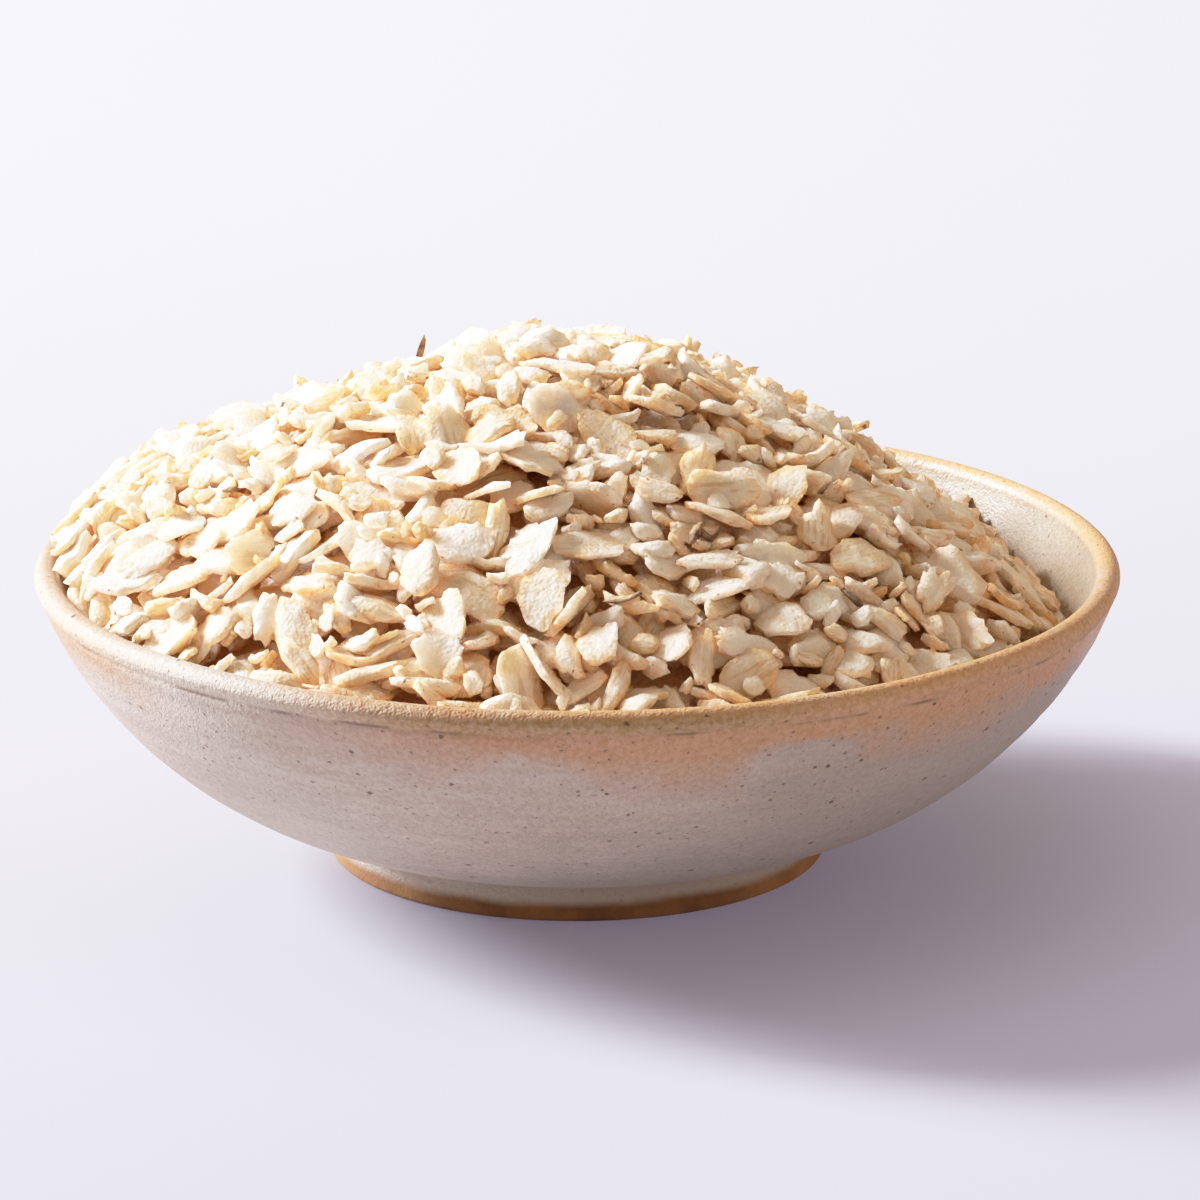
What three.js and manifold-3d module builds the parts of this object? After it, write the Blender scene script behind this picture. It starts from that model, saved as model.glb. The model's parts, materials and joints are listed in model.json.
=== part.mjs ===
// A hand-thrown stoneware bowl on a foot ring, heaped with rice flakes.
// Units are millimetres and +Z is up. The origin is the centre of the foot's underside.
// Seen from the front, which is -Y, +X is to the right.

import * as THREE from "three";
import { ParametricGeometry } from "three/addons/geometries/ParametricGeometry.js";
import { mergeVertices } from "three/addons/utils/BufferGeometryUtils.js";
import Module from "manifold-3d";

// Bowl: rim, wall and floor
const RIM_RADIUS = 70;
const BOWL_HEIGHT = 39.2;
const LIP_THICKNESS = 3.2;
const LIP_RISE = 1.6;
const FLOOR_HEIGHT = 9;

// Handles of the wall's two curves, each as (radius, height)
const OUTER_LOW_HANDLE = new THREE.Vector2(48.8, 7.7);
const OUTER_HIGH_HANDLE = new THREE.Vector2(64.5, 21.5);
const INNER_HIGH_HANDLE = new THREE.Vector2(61.2, 23);
const INNER_LOW_HANDLE = new THREE.Vector2(47, FLOOR_HEIGHT);

// Foot ring
const FOOT_RADIUS = 32.4;
const FOOT_NECK_RADIUS = 31.6;
const FOOT_HEIGHT = 5.1;
const FOOT_EDGE = 0.8;
const FOOT_RING_WIDTH = 7;
const FOOT_RECESS = 2.2;

// Heap of flakes: its peak stands left of the middle, its edge dips at the right and rises to a
// shoulder at the left, with a slight hollow between that shoulder and the peak
const PEAK_ABOVE_RIM = 28.6;
const PEAK_SHIFT = -3;
const DOME_POWER = 1.8;
const EDGE_BELOW_RIM = 0.6;
const DIP_DEPTH = 8.4;
const DIP_ANGLE = THREE.MathUtils.degToRad(10);
const SHOULDER_RISE = 5;
const SHOULDER_ANGLE = THREE.MathUtils.degToRad(163);
const HOLLOW_DEPTH = 4.5;
const HOLLOW_ANGLE = THREE.MathUtils.degToRad(155);
const SWELL_POWER = 4;
const CORE_DROP = 1.2;
const CORE_GAP = 0.8;
const CORE_BUMP = 0.4;
const BUMP_TURNS = 13;
const BUMP_STRIDE = 2.4;
const FLAKE_GAP = 0.4;

// Flakes that show on the heap, at their true size
const FLAKE_COUNT = 194;
const FLAKE_LENGTH = [7.4, 9.8];
const FLAKE_WIDTH = [4.8, 6.6];
const FLAKE_THICKNESS = [1.2, 1.6];
const FLAKE_SIDES = 6;
const FLAKE_TAPER = 0.86;
const FLAKE_RAGGED = [0.84, 1.12];
const FLAKE_CROWN = 0.25;
const FLAKE_TILT = THREE.MathUtils.degToRad(20);
const FLAKE_LIFT = [-0.9, -0.4];
const HEAP_SEED = 41;
const GOLDEN_ANGLE = Math.PI * (3 - Math.sqrt(5));

// Facets
const BOWL_SEGMENTS = 56;
const BOWL_CURVE_STEPS = 6;
const CORE_SEGMENTS = 36;
const CORE_WALL_STEPS = 4;
const CORE_DOME_STEPS = 8;
const LIMIT_TOP = BOWL_HEIGHT + 2 * PEAK_ABOVE_RIM;
const WELD_DISTANCE = 1e-4;
const WALL_SEARCH_STEPS = 30;
const SLOPE_STEP = 0.01;

const wasm = await Module();
wasm.setup();

const lipBase = BOWL_HEIGHT - LIP_RISE;
const lipInnerRadius = RIM_RADIUS - LIP_THICKNESS;

// The inner wall from the lip down to the middle of the bowl's floor.
const innerWall = new THREE.CubicBezierCurve(
  new THREE.Vector2(lipInnerRadius, lipBase),
  INNER_HIGH_HANDLE,
  INNER_LOW_HANDLE,
  new THREE.Vector2(0, FLOOR_HEIGHT),
);

// A number drawn evenly from a [low, high] range.
function between([low, high]) {
  return THREE.MathUtils.lerp(low, high, THREE.MathUtils.seededRandom());
}

// A geometry with only its places left, welded, so that a solid can be made from it.
function welded(geometry) {
  geometry.deleteAttribute("normal");
  geometry.deleteAttribute("uv");
  return mergeVertices(geometry, WELD_DISTANCE);
}

// A closed geometry as a solid, without the flat triangles that poles leave.
function solidFrom(geometry) {
  const places = welded(geometry);
  const corners = places.index.array;
  const triVerts = [];
  for (let i = 0; i < corners.length; i += 3) {
    const [a, b, c] = corners.slice(i, i + 3);
    if (a !== b && b !== c && c !== a) triVerts.push(a, b, c);
  }
  return new wasm.Manifold(
    new wasm.Mesh({
      numProp: 3,
      vertProperties: places.getAttribute("position").array,
      triVerts: new Uint32Array(triVerts),
    }),
  );
}

// A solid back as a geometry.
function geometryFrom(solid) {
  const mesh = solid.getMesh();
  const geometry = new THREE.BufferGeometry();
  geometry.setAttribute("position", new THREE.BufferAttribute(mesh.vertProperties, 3));
  geometry.setIndex(new THREE.BufferAttribute(mesh.triVerts, 1));
  geometry.computeVertexNormals();
  return geometry;
}

// A profile of (radius, height) points turned about the Z axis.
function turned(points, segments) {
  return new THREE.LatheGeometry(points, segments).rotateX(Math.PI / 2);
}

// The bowl's section: foot ring, outer wall, rounded lip and inner wall.
function bowlProfile() {
  const footInner = FOOT_RADIUS - FOOT_RING_WIDTH;
  const profile = new THREE.Path();
  profile.moveTo(0, FOOT_RECESS);
  profile.lineTo(footInner, FOOT_RECESS);
  profile.lineTo(footInner + FOOT_EDGE, 0);
  profile.lineTo(FOOT_RADIUS - FOOT_EDGE, 0);
  profile.lineTo(FOOT_RADIUS, FOOT_EDGE);
  profile.lineTo(FOOT_NECK_RADIUS, FOOT_HEIGHT);
  profile.bezierCurveTo(...OUTER_LOW_HANDLE, ...OUTER_HIGH_HANDLE, RIM_RADIUS, lipBase);
  profile.absellipse(
    (RIM_RADIUS + lipInnerRadius) / 2,
    lipBase,
    LIP_THICKNESS / 2,
    LIP_RISE,
    0,
    Math.PI,
    false,
    0,
  );
  profile.curves.push(innerWall);
  return profile.getPoints(BOWL_CURVE_STEPS);
}

// A bump of height 1 around one direction of the rim, falling to 0 a quarter turn away.
function swell(angle, towards) {
  return Math.max(0, Math.cos(angle - towards)) ** SWELL_POWER;
}

// The height at which the heap's surface ends in one direction.
function edgeHeight(angle) {
  const level = BOWL_HEIGHT - EDGE_BELOW_RIM;
  return (
    level - DIP_DEPTH * swell(angle, DIP_ANGLE) + SHOULDER_RISE * swell(angle, SHOULDER_ANGLE)
  );
}

// How far along the inner wall, from the lip, a height lies.
function wallShare(height) {
  let [above, below] = [0, 1];
  for (let step = 0; step < WALL_SEARCH_STEPS; step++) {
    const middle = (above + below) / 2;
    if (innerWall.getPoint(middle).y > height) above = middle;
    else below = middle;
  }
  return above;
}

// The inner wall's radius at a height. Above the lip it stays the lip's.
function wallRadius(height) {
  return innerWall.getPoint(wallShare(Math.min(height, lipBase))).x;
}

// A point of the heap's surface: share is 0 at the peak and 1 at the wall.
function heapPoint(share, angle, drop, gap) {
  const edge = edgeHeight(angle);
  const reach = (wallRadius(edge - drop) - gap) * share;
  const peak = BOWL_HEIGHT + PEAK_ABOVE_RIM;
  const hollow = HOLLOW_DEPTH * swell(angle, HOLLOW_ANGLE) * Math.sin(Math.PI * share) ** 2;
  return new THREE.Vector3(
    reach * Math.cos(angle) + PEAK_SHIFT * (1 - share),
    reach * Math.sin(angle),
    edge + (peak - edge) * (1 - share ** DOME_POWER) - hollow - drop,
  );
}

// The heap without its flakes: up the bowl's inner wall, then over the dome to its peak.
function heapCore() {
  const steps = CORE_WALL_STEPS + CORE_DOME_STEPS;
  const place = (around, along, target) => {
    const angle = 2 * Math.PI * around;
    const step = along * steps;
    if (step > CORE_WALL_STEPS) {
      const share = (steps - step) / CORE_DOME_STEPS;
      const bump = CORE_BUMP * share * Math.sin(BUMP_TURNS * angle + BUMP_STRIDE * step);
      target.copy(heapPoint(share, angle, CORE_DROP - bump, CORE_GAP));
      return;
    }
    const top = wallShare(Math.min(edgeHeight(angle) - CORE_DROP, lipBase));
    const wall = innerWall.getPoint(THREE.MathUtils.lerp(1, top, step / CORE_WALL_STEPS));
    const radius = Math.max(0, wall.x - CORE_GAP * (step / CORE_WALL_STEPS));
    const height = step === CORE_WALL_STEPS ? edgeHeight(angle) - CORE_DROP : wall.y + CORE_GAP;
    target.set(radius * Math.cos(angle), radius * Math.sin(angle), height);
  };
  return solidFrom(new ParametricGeometry(place, CORE_SEGMENTS, steps));
}

// The room that flakes may take: inside the bowl's wall and straight up from its lip.
function flakeRoom() {
  const wall = innerWall.getPoints(BOWL_CURVE_STEPS).reverse();
  const inside = wall.map(({ x, y }) => new THREE.Vector2(Math.max(0, x - FLAKE_GAP), y + FLAKE_GAP));
  inside.push(new THREE.Vector2(lipInnerRadius - FLAKE_GAP, LIMIT_TOP));
  inside.push(new THREE.Vector2(0, LIMIT_TOP));
  return solidFrom(turned(inside, BOWL_SEGMENTS));
}

// One flake: a flat chip with a ragged outline, a slight crown and narrower on top.
function flake(placement) {
  const chip = welded(
    new THREE.CylinderGeometry(FLAKE_TAPER / 2, 1 / 2, 1, FLAKE_SIDES).rotateX(Math.PI / 2),
  );
  const ragged = Array.from({ length: FLAKE_SIDES }, () => between(FLAKE_RAGGED));
  const size = new THREE.Vector3(
    between(FLAKE_LENGTH),
    between(FLAKE_WIDTH),
    between(FLAKE_THICKNESS),
  );
  const places = chip.getAttribute("position");
  const point = new THREE.Vector3();
  for (let i = 0; i < places.count; i++) {
    point.fromBufferAttribute(places, i);
    const side = Math.round((Math.atan2(point.y, point.x) * FLAKE_SIDES) / (2 * Math.PI));
    const stretch = ragged[(side + FLAKE_SIDES) % FLAKE_SIDES];
    const onAxis = Math.hypot(point.x, point.y) < WELD_DISTANCE;
    const crown = onAxis ? FLAKE_CROWN * Math.sign(point.z) : 0;
    point.set(point.x * stretch, point.y * stretch, point.z + crown).multiply(size);
    places.setXYZ(i, ...point);
  }
  return solidFrom(chip.applyMatrix4(placement));
}

// Where flake number i lies: along a spiral over the dome, turned any way and tilted off its slope.
function flakePlacement(i) {
  const share = Math.sqrt((i + 0.5) / FLAKE_COUNT);
  const angle = i * GOLDEN_ANGLE;
  const at = (s, a) => heapPoint(s, a, 0, FLAKE_GAP);
  const outward = at(share + SLOPE_STEP, angle).sub(at(share - SLOPE_STEP, angle));
  const sideways = at(share, angle + SLOPE_STEP).sub(at(share, angle - SLOPE_STEP));
  const normal = new THREE.Vector3().crossVectors(outward, sideways).normalize();
  const onSlope = new THREE.Quaternion().setFromUnitVectors(new THREE.Vector3(0, 0, 1), normal);
  const tiltWay = between([0, 2 * Math.PI]);
  const tilt = new THREE.Quaternion().setFromAxisAngle(
    new THREE.Vector3(Math.cos(tiltWay), Math.sin(tiltWay), 0),
    between([0, FLAKE_TILT]),
  );
  const spin = new THREE.Quaternion().setFromAxisAngle(
    new THREE.Vector3(0, 0, 1),
    between([0, 2 * Math.PI]),
  );
  const place = at(share, angle).addScaledVector(normal, between(FLAKE_LIFT));
  return new THREE.Matrix4().compose(
    place,
    onSlope.multiply(tilt).multiply(spin),
    new THREE.Vector3(1, 1, 1),
  );
}

// The heap as one solid: its core with the flakes fused on. Scraps and sealed hollows are left out.
function flakeHeap() {
  THREE.MathUtils.seededRandom(HEAP_SEED);
  const flakes = Array.from({ length: FLAKE_COUNT }, (_, i) => flake(flakePlacement(i)));
  const shown = wasm.Manifold.union(flakes).intersect(flakeRoom());
  const bodies = heapCore().add(shown).decompose();
  return bodies.reduce((largest, body) => (body.volume() > largest.volume() ? body : largest));
}

const stoneware = new THREE.MeshStandardMaterial({ color: 0xb3a49c, roughness: 0.55, metalness: 0 });
const rice = new THREE.MeshStandardMaterial({ color: 0xe6d2ae, roughness: 0.85, metalness: 0 });

const bowl = new THREE.Mesh(turned(bowlProfile(), BOWL_SEGMENTS), stoneware);
bowl.name = "bowl";

const heap = new THREE.Mesh(geometryFrom(flakeHeap()), rice);
heap.name = "rice_flakes";

const bowlOfFlakes = new THREE.Group();
bowlOfFlakes.add(bowl, heap);

export default bowlOfFlakes;
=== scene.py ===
"""A stoneware bowl heaped with rice flakes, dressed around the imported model.

Sizes are in millimetres, in the model's own frame: +Z up, +X to the right and -Y to the front.
They become metres where a mesh is made.
"""

import json
import logging
import math
from collections.abc import Iterable, Sequence
from dataclasses import dataclass
from enum import Enum
from typing import Any

import bpy
import numpy as np
from mathutils import Matrix, Vector

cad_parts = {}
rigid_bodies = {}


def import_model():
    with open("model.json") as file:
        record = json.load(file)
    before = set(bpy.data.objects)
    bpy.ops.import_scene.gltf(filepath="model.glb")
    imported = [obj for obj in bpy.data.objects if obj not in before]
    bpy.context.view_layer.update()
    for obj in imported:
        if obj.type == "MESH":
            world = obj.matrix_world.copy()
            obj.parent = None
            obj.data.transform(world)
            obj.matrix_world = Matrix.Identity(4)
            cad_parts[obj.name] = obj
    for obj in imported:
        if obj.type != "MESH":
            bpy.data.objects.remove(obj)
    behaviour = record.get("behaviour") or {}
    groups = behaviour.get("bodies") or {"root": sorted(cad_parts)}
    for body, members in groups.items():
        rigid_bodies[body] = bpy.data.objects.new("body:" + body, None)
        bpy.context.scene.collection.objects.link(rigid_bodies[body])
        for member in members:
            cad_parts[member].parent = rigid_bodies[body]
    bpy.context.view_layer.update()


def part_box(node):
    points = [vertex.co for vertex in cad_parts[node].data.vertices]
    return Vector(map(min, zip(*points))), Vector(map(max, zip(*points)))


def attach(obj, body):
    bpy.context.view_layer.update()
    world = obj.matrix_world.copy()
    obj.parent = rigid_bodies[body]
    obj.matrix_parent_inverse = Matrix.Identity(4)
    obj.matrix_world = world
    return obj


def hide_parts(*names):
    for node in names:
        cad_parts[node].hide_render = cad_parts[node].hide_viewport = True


LOG = logging.getLogger("rice_bowl")

MM = 0.001
BODY = "root"
BAKE_MAP = "OFBake"
FULL_TURN = 2 * math.pi

NUMBER = "NodeSocketFloat"
WHOLE = "NodeSocketInt"
VECTOR = "NodeSocketVector"
GEOMETRY = "NodeSocketGeometry"
COLLECTION = "NodeSocketCollection"
MATERIAL = "NodeSocketMaterial"

Colour = tuple[float, float, float, float]
Triple = tuple[float, float, float]
Pair = tuple[float, float]
Socket = bpy.types.NodeSocket


class Attribute(Enum):
    """Names of the values that meshes carry for their materials."""

    WALL = "wall"
    EDGE = "edge"
    SEAM = "seam"
    GRAIN = "grain"
    TINT = "tint"
    SHAPE = "shape"
    TURN = "turn"
    SIZE = "size"
    CELL = "cell"


class Kind(Enum):
    """Kinds of things in the heap. The value is the name of the piece that holds them."""

    BROAD = "broad_flakes"
    TORN = "torn_flakes"
    PUFFED = "puffed_flakes"
    SLIM = "slim_grains"
    BIT = "broken_bits"
    HUSK = "bran_husks"


# Node trees


class Nodes:
    """Short ways to add and join the nodes of one tree."""

    def __init__(self, tree: bpy.types.NodeTree) -> None:
        """Works on the given tree."""
        self.tree = tree

    def join(self, value: Any, socket: Socket) -> None:
        """Joins an output to an input, or sets a plain value there."""
        if isinstance(value, Socket):
            self.tree.links.new(value, socket)
        else:
            socket.default_value = value

    def add(self, kind: str, feeds: dict[Any, Any] | None = None, **settings: Any) -> bpy.types.Node:
        """Adds a node.

        Args:
            kind: The node's type name.
            feeds: What goes into its inputs, by name or number: an output to join, or a plain value.
            settings: The node's own properties.

        Returns:
            The new node.
        """
        node = self.tree.nodes.new(kind)
        for name, value in settings.items():
            setattr(node, name, value)
        for key, value in (feeds or {}).items():
            self.join(value, node.inputs[key])
        return node

    def math(self, operation: str, *values: Any) -> Socket:
        """The result of a Math node on the given values."""
        return self.add("ShaderNodeMath", dict(enumerate(values)), operation=operation).outputs[0]

    def times(self, *values: Any) -> Socket:
        """The product of several values."""
        product = values[0]
        for value in values[1:]:
            product = self.math("MULTIPLY", product, value)
        return product

    def vector(self, operation: str, *values: Any) -> Socket:
        """The vector result of a Vector Math node on the given values."""
        return self.add("ShaderNodeVectorMath", dict(enumerate(values)), operation=operation).outputs[0]

    def scaled(self, vector: Socket, factor: Any) -> Socket:
        """A vector times a number."""
        node = self.add("ShaderNodeVectorMath", {0: vector, "Scale": factor}, operation="SCALE")
        return node.outputs[0]

    def upwards(self, value: Any) -> Socket:
        """A vector along Z of this length."""
        return self.add("ShaderNodeCombineXYZ", {2: value}).outputs[0]

    def axes(self, vector: Socket) -> Sequence[Socket]:
        """The three numbers of a vector."""
        return self.add("ShaderNodeSeparateXYZ", {0: vector}).outputs

    def ramp(self, value: Any, low: Any, high: Any) -> Socket:
        """A smooth step: 0 where the value is at low, 1 where it is at high."""
        feeds = {"Value": value, "From Min": low, "From Max": high}
        return self.add("ShaderNodeMapRange", feeds, interpolation_type="SMOOTHSTEP").outputs[0]

    def away(self, value: Socket, middle: float) -> Socket:
        """How far a value is from a middle one."""
        return self.math("ABSOLUTE", self.math("SUBTRACT", value, middle))

    def mix(self, factor: Any, low: Any, high: Any) -> Socket:
        """A colour between low and high."""
        return self.add("ShaderNodeMix", {0: factor, 6: low, 7: high}, data_type="RGBA").outputs[2]

    def noise(self, vector: Socket, scale: Any, detail: Any = 2.0, rough: Any = 0.5) -> Socket:
        """A noise from 0 to 1 around 0.5."""
        feeds = {"Vector": vector, "Scale": scale, "Detail": detail, "Roughness": rough}
        return self.add("ShaderNodeTexNoise", feeds).outputs[0]

    def group(self, tree: bpy.types.NodeTree, feeds: dict[str, Any]) -> Socket:
        """The first output of a node group fed with these values."""
        kind = f"{self.tree.bl_idname.removesuffix('Tree')}Group"
        return self.add(kind, feeds, node_tree=tree).outputs[0]


def shared_group(
    name: str, inputs: dict[str, str], output: tuple[str, str], kind: str = "ShaderNodeTree"
) -> tuple[Nodes, dict[str, Socket], Socket]:
    """Starts a node group with named sockets.

    Args:
        name: The group's name.
        inputs: Socket type of each input, by name.
        output: Name and socket type of its output.
        kind: The type of tree.

    Returns:
        The group's nodes, its inputs by name, and the socket that takes its result.
    """
    tree = bpy.data.node_groups.new(name, kind)
    for title, socket_type in inputs.items():
        tree.interface.new_socket(title, in_out="INPUT", socket_type=socket_type)
    tree.interface.new_socket(output[0], in_out="OUTPUT", socket_type=output[1])
    start = tree.nodes.new("NodeGroupInput")
    end = tree.nodes.new("NodeGroupOutput")
    return Nodes(tree), {title: start.outputs[title] for title in inputs}, end.inputs[0]


@dataclass
class Effects:
    """Shader effects that the finishes use, each built once as a node group."""

    patch_roughness: float = 0.55
    shake_scale: float = 2600.0
    shake_reach: float = 0.5 * MM
    smallest_speck: float = 0.35
    speck_core: float = 0.55
    swell_detail: float = 1.5
    swell_roughness: float = 0.6

    def __post_init__(self) -> None:
        """Builds the groups."""
        self.mottle = self._mottle()
        self.specks = self._specks()
        self.grain = self._grain()

    def _mottle(self) -> bpy.types.NodeTree:
        """Cloudy patches as a mask: how much of the surface they take is set by From and To."""
        inputs = {"Vector": VECTOR, "Scale": NUMBER, "Detail": NUMBER, "From": NUMBER, "To": NUMBER}
        nodes, given, result = shared_group("Mottle", inputs, ("Mask", NUMBER))
        cloud = nodes.noise(given["Vector"], given["Scale"], given["Detail"], self.patch_roughness)
        nodes.join(nodes.ramp(cloud, given["From"], given["To"]), result)
        return nodes.tree

    def _specks(self) -> bpy.types.NodeTree:
        """Scattered specks as a mask: one in a share of the cells, up to a radius in cells."""
        inputs = {"Vector": VECTOR, "Scale": NUMBER, "Radius": NUMBER, "Share": NUMBER}
        nodes, given, result = shared_group("Specks", inputs, ("Mask", NUMBER))
        feeds = {"Vector": given["Vector"], "Scale": self.shake_scale, "Detail": 1.0}
        shake = nodes.add("ShaderNodeTexNoise", feeds).outputs[1]
        offset = nodes.scaled(nodes.vector("SUBTRACT", shake, (0.5, 0.5, 0.5)), self.shake_reach)
        place = nodes.vector("ADD", given["Vector"], offset)
        cells = nodes.add("ShaderNodeTexVoronoi", {"Vector": place, "Scale": given["Scale"]})
        draw = nodes.add("ShaderNodeSeparateColor", {0: cells.outputs["Color"]})
        chosen = nodes.math("LESS_THAN", draw.outputs[0], given["Share"])
        radius = nodes.times(given["Radius"], nodes.math("ADD", draw.outputs[1], self.smallest_speck))
        dot = nodes.ramp(cells.outputs["Distance"], radius, nodes.times(radius, self.speck_core))
        nodes.join(nodes.times(dot, chosen), result)
        return nodes.tree

    def _grain(self) -> bpy.types.NodeTree:
        """Fine unevenness as a height from 0 to 1: a coarse swell with a finer grit on it."""
        inputs = {"Vector": VECTOR, "Coarse": NUMBER, "Fine": NUMBER, "Grit": NUMBER}
        nodes, given, result = shared_group("Grain", inputs, ("Height", NUMBER))
        swell = nodes.noise(given["Vector"], given["Coarse"], self.swell_detail, self.swell_roughness)
        grit = nodes.times(nodes.noise(given["Vector"], given["Fine"], 0.0), given["Grit"])
        nodes.join(nodes.math("ADD", swell, grit), result)
        return nodes.tree


@dataclass(frozen=True)
class Clouds:
    """Cloudy patches: patches in a metre, their detail, and the noise at which they start and are full."""

    scale: float
    detail: float
    start: float
    full: float

    def mask(self, nodes: Nodes, effects: Effects, place: Socket) -> Socket:
        """Where they lie, as a mask."""
        feeds = {"Vector": place, "Scale": self.scale, "Detail": self.detail}
        return nodes.group(effects.mottle, feeds | {"From": self.start, "To": self.full})


@dataclass(frozen=True)
class Specks:
    """A layer of specks: cells in a metre, radius in cells, share of cells, strength and colour."""

    scale: float
    radius: float
    share: float
    strength: float
    colour: Colour

    def mask(self, nodes: Nodes, effects: Effects, place: Socket) -> Socket:
        """Where they lie and how strongly, as a mask."""
        feeds = {"Vector": place, "Scale": self.scale, "Radius": self.radius, "Share": self.share}
        return nodes.times(nodes.group(effects.specks, feeds), self.strength)


@dataclass(frozen=True)
class Relief:
    """A fine unevenness: swells and grains of grit in a metre, and the grit's share of the height.

    As a bump, its strength says how much of it shows, and its depth is in metres.
    """

    coarse: float
    fine: float
    grit: float
    strength: float
    depth: float

    def height(self, nodes: Nodes, effects: Effects, place: Socket) -> Socket:
        """The unevenness as a height."""
        feeds = {"Vector": place, "Coarse": self.coarse, "Fine": self.fine, "Grit": self.grit}
        return nodes.group(effects.grain, feeds)

    def bump(self, nodes: Nodes, shader: bpy.types.Node, height: Socket) -> None:
        """Joins a height to the shader's normal."""
        feeds = {"Height": height, "Strength": self.strength, "Distance": self.depth}
        nodes.join(nodes.add("ShaderNodeBump", feeds).outputs[0], shader.inputs["Normal"])


# Finishes


def started_material(name: str) -> tuple[bpy.types.Material, Nodes, bpy.types.Node, Socket]:
    """Starts a material.

    Args:
        name: The material's name.

    Returns:
        The material, its nodes, its Principled BSDF and the Object coordinates.
    """
    material = bpy.data.materials.new(name)
    material.use_nodes = True
    nodes = Nodes(material.node_tree)
    shader = material.node_tree.nodes["Principled BSDF"]
    return material, nodes, shader, nodes.add("ShaderNodeTexCoord").outputs["Object"]


def carried(nodes: Nodes, attribute: Attribute) -> Socket:
    """A number that the mesh carries, read in a material."""
    return nodes.add("ShaderNodeAttribute", attribute_name=attribute.value).outputs["Fac"]


@dataclass(frozen=True)
class RiceFinish:
    """Dry rice: chalky and creamy patches, golden torn edges, tan streaks and a little bran."""

    name: str
    chalk: Colour = (0.955, 0.835, 0.66, 1)
    cream: Colour = (0.92, 0.68, 0.39, 1)
    gold: Colour = (0.80, 0.435, 0.14, 1)
    tan: Colour = (0.70, 0.38, 0.14, 1)
    bran: Colour = (0.27, 0.12, 0.04, 1)
    patches: Clouds = Clouds(260.0, 2.0, 0.36, 0.66)
    patch_share: float = 0.48
    tint_share: float = 0.52
    creamy_from: float = 0.12
    streaks: Clouds = Clouds(1.0, 2.0, 0.48, 0.66)
    streak_stretch: Triple = (2.2, 9.0, 3.0)
    streak_spread: float = 97.0
    streak_strength: float = 0.7
    streaked_at: float = 0.9
    rim_from: float = 0.45
    edge_strength: float = 0.85
    remains: Clouds = Clouds(900.0, 1.0, 0.69, 0.78)
    roughness: float = 0.68
    specular: float = 0.35
    glow: float = 0.8
    glow_reach: Triple = (1.0, 0.85, 0.7)
    glow_depth: float = 2.2 * MM
    crinkle: Relief = Relief(750.0, 2600.0, 0.5, 1.0, 0.4 * MM)

    def material(self, effects: Effects) -> bpy.types.Material:
        """Builds the material.

        Args:
            effects: The shared shader effects.

        Returns:
            The material.
        """
        material, nodes, shader, place = started_material(self.name)
        nodes.join(self._colour(nodes, effects, place), shader.inputs["Base Color"])
        shader.inputs["Roughness"].default_value = self.roughness
        shader.inputs["Specular IOR Level"].default_value = self.specular
        shader.subsurface_method = "BURLEY"
        shader.inputs["Subsurface Weight"].default_value = self.glow
        shader.inputs["Subsurface Radius"].default_value = self.glow_reach
        shader.inputs["Subsurface Scale"].default_value = self.glow_depth
        self.crinkle.bump(nodes, shader, self.crinkle.height(nodes, effects, place))
        return material

    def _colour(self, nodes: Nodes, effects: Effects, place: Socket) -> Socket:
        """The colour over a flake, more golden on those that carry more tint."""
        tint = carried(nodes, Attribute.TINT)
        patches = nodes.times(self.patches.mask(nodes, effects, place), self.patch_share)
        creamy = nodes.math("ADD", patches, nodes.times(tint, self.tint_share))
        colour = nodes.mix(nodes.ramp(creamy, self.creamy_from, 1.0), self.chalk, self.cream)
        streaks = nodes.times(self._streaks(nodes, effects, tint), nodes.ramp(tint, 0.0, self.streaked_at))
        colour = nodes.mix(nodes.times(streaks, self.streak_strength), colour, self.tan)
        rim = nodes.ramp(carried(nodes, Attribute.EDGE), self.rim_from, 1.0)
        edge = nodes.times(rim, creamy, self.edge_strength)
        line = nodes.math("MAXIMUM", edge, carried(nodes, Attribute.SEAM))
        colour = nodes.mix(line, colour, self.gold)
        return nodes.mix(nodes.times(self.remains.mask(nodes, effects, place), rim), colour, self.bran)

    def _streaks(self, nodes: Nodes, effects: Effects, tint: Socket) -> Socket:
        """Where tan streaks run along a flake, different on each."""
        along = nodes.add("ShaderNodeAttribute", attribute_name=Attribute.GRAIN.value).outputs["Vector"]
        own = nodes.upwards(nodes.times(tint, self.streak_spread))
        place = nodes.vector("ADD", nodes.vector("MULTIPLY", along, self.streak_stretch), own)
        return self.streaks.mask(nodes, effects, place)


@dataclass(frozen=True)
class HuskFinish:
    """Bran husk: dry brown with darker streaks."""

    name: str = "bran_husk"
    light: Colour = (0.52, 0.29, 0.10, 1)
    dark: Colour = (0.12, 0.055, 0.02, 1)
    streaks: Clouds = Clouds(700.0, 2.0, 0.4, 0.62)
    streak_strength: float = 0.6
    roughness: float = 0.7
    ribs: Relief = Relief(1500.0, 4000.0, 0.3, 0.6, 0.25 * MM)

    def material(self, effects: Effects) -> bpy.types.Material:
        """Builds the material.

        Args:
            effects: The shared shader effects.

        Returns:
            The material.
        """
        material, nodes, shader, place = started_material(self.name)
        streaks = self.streaks.mask(nodes, effects, place)
        shade = nodes.times(nodes.math("ADD", streaks, carried(nodes, Attribute.TINT)), self.streak_strength)
        nodes.join(nodes.mix(shade, self.light, self.dark), shader.inputs["Base Color"])
        shader.inputs["Roughness"].default_value = self.roughness
        self.ribs.bump(nodes, shader, self.ribs.height(nodes, effects, place))
        return material


@dataclass(frozen=True)
class WallSpot:
    """Where a point of the bowl lies, as outputs in its material."""

    place: Socket
    height: Socket
    way: Socket
    right: Socket
    inside: Socket
    outside: Socket


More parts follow.
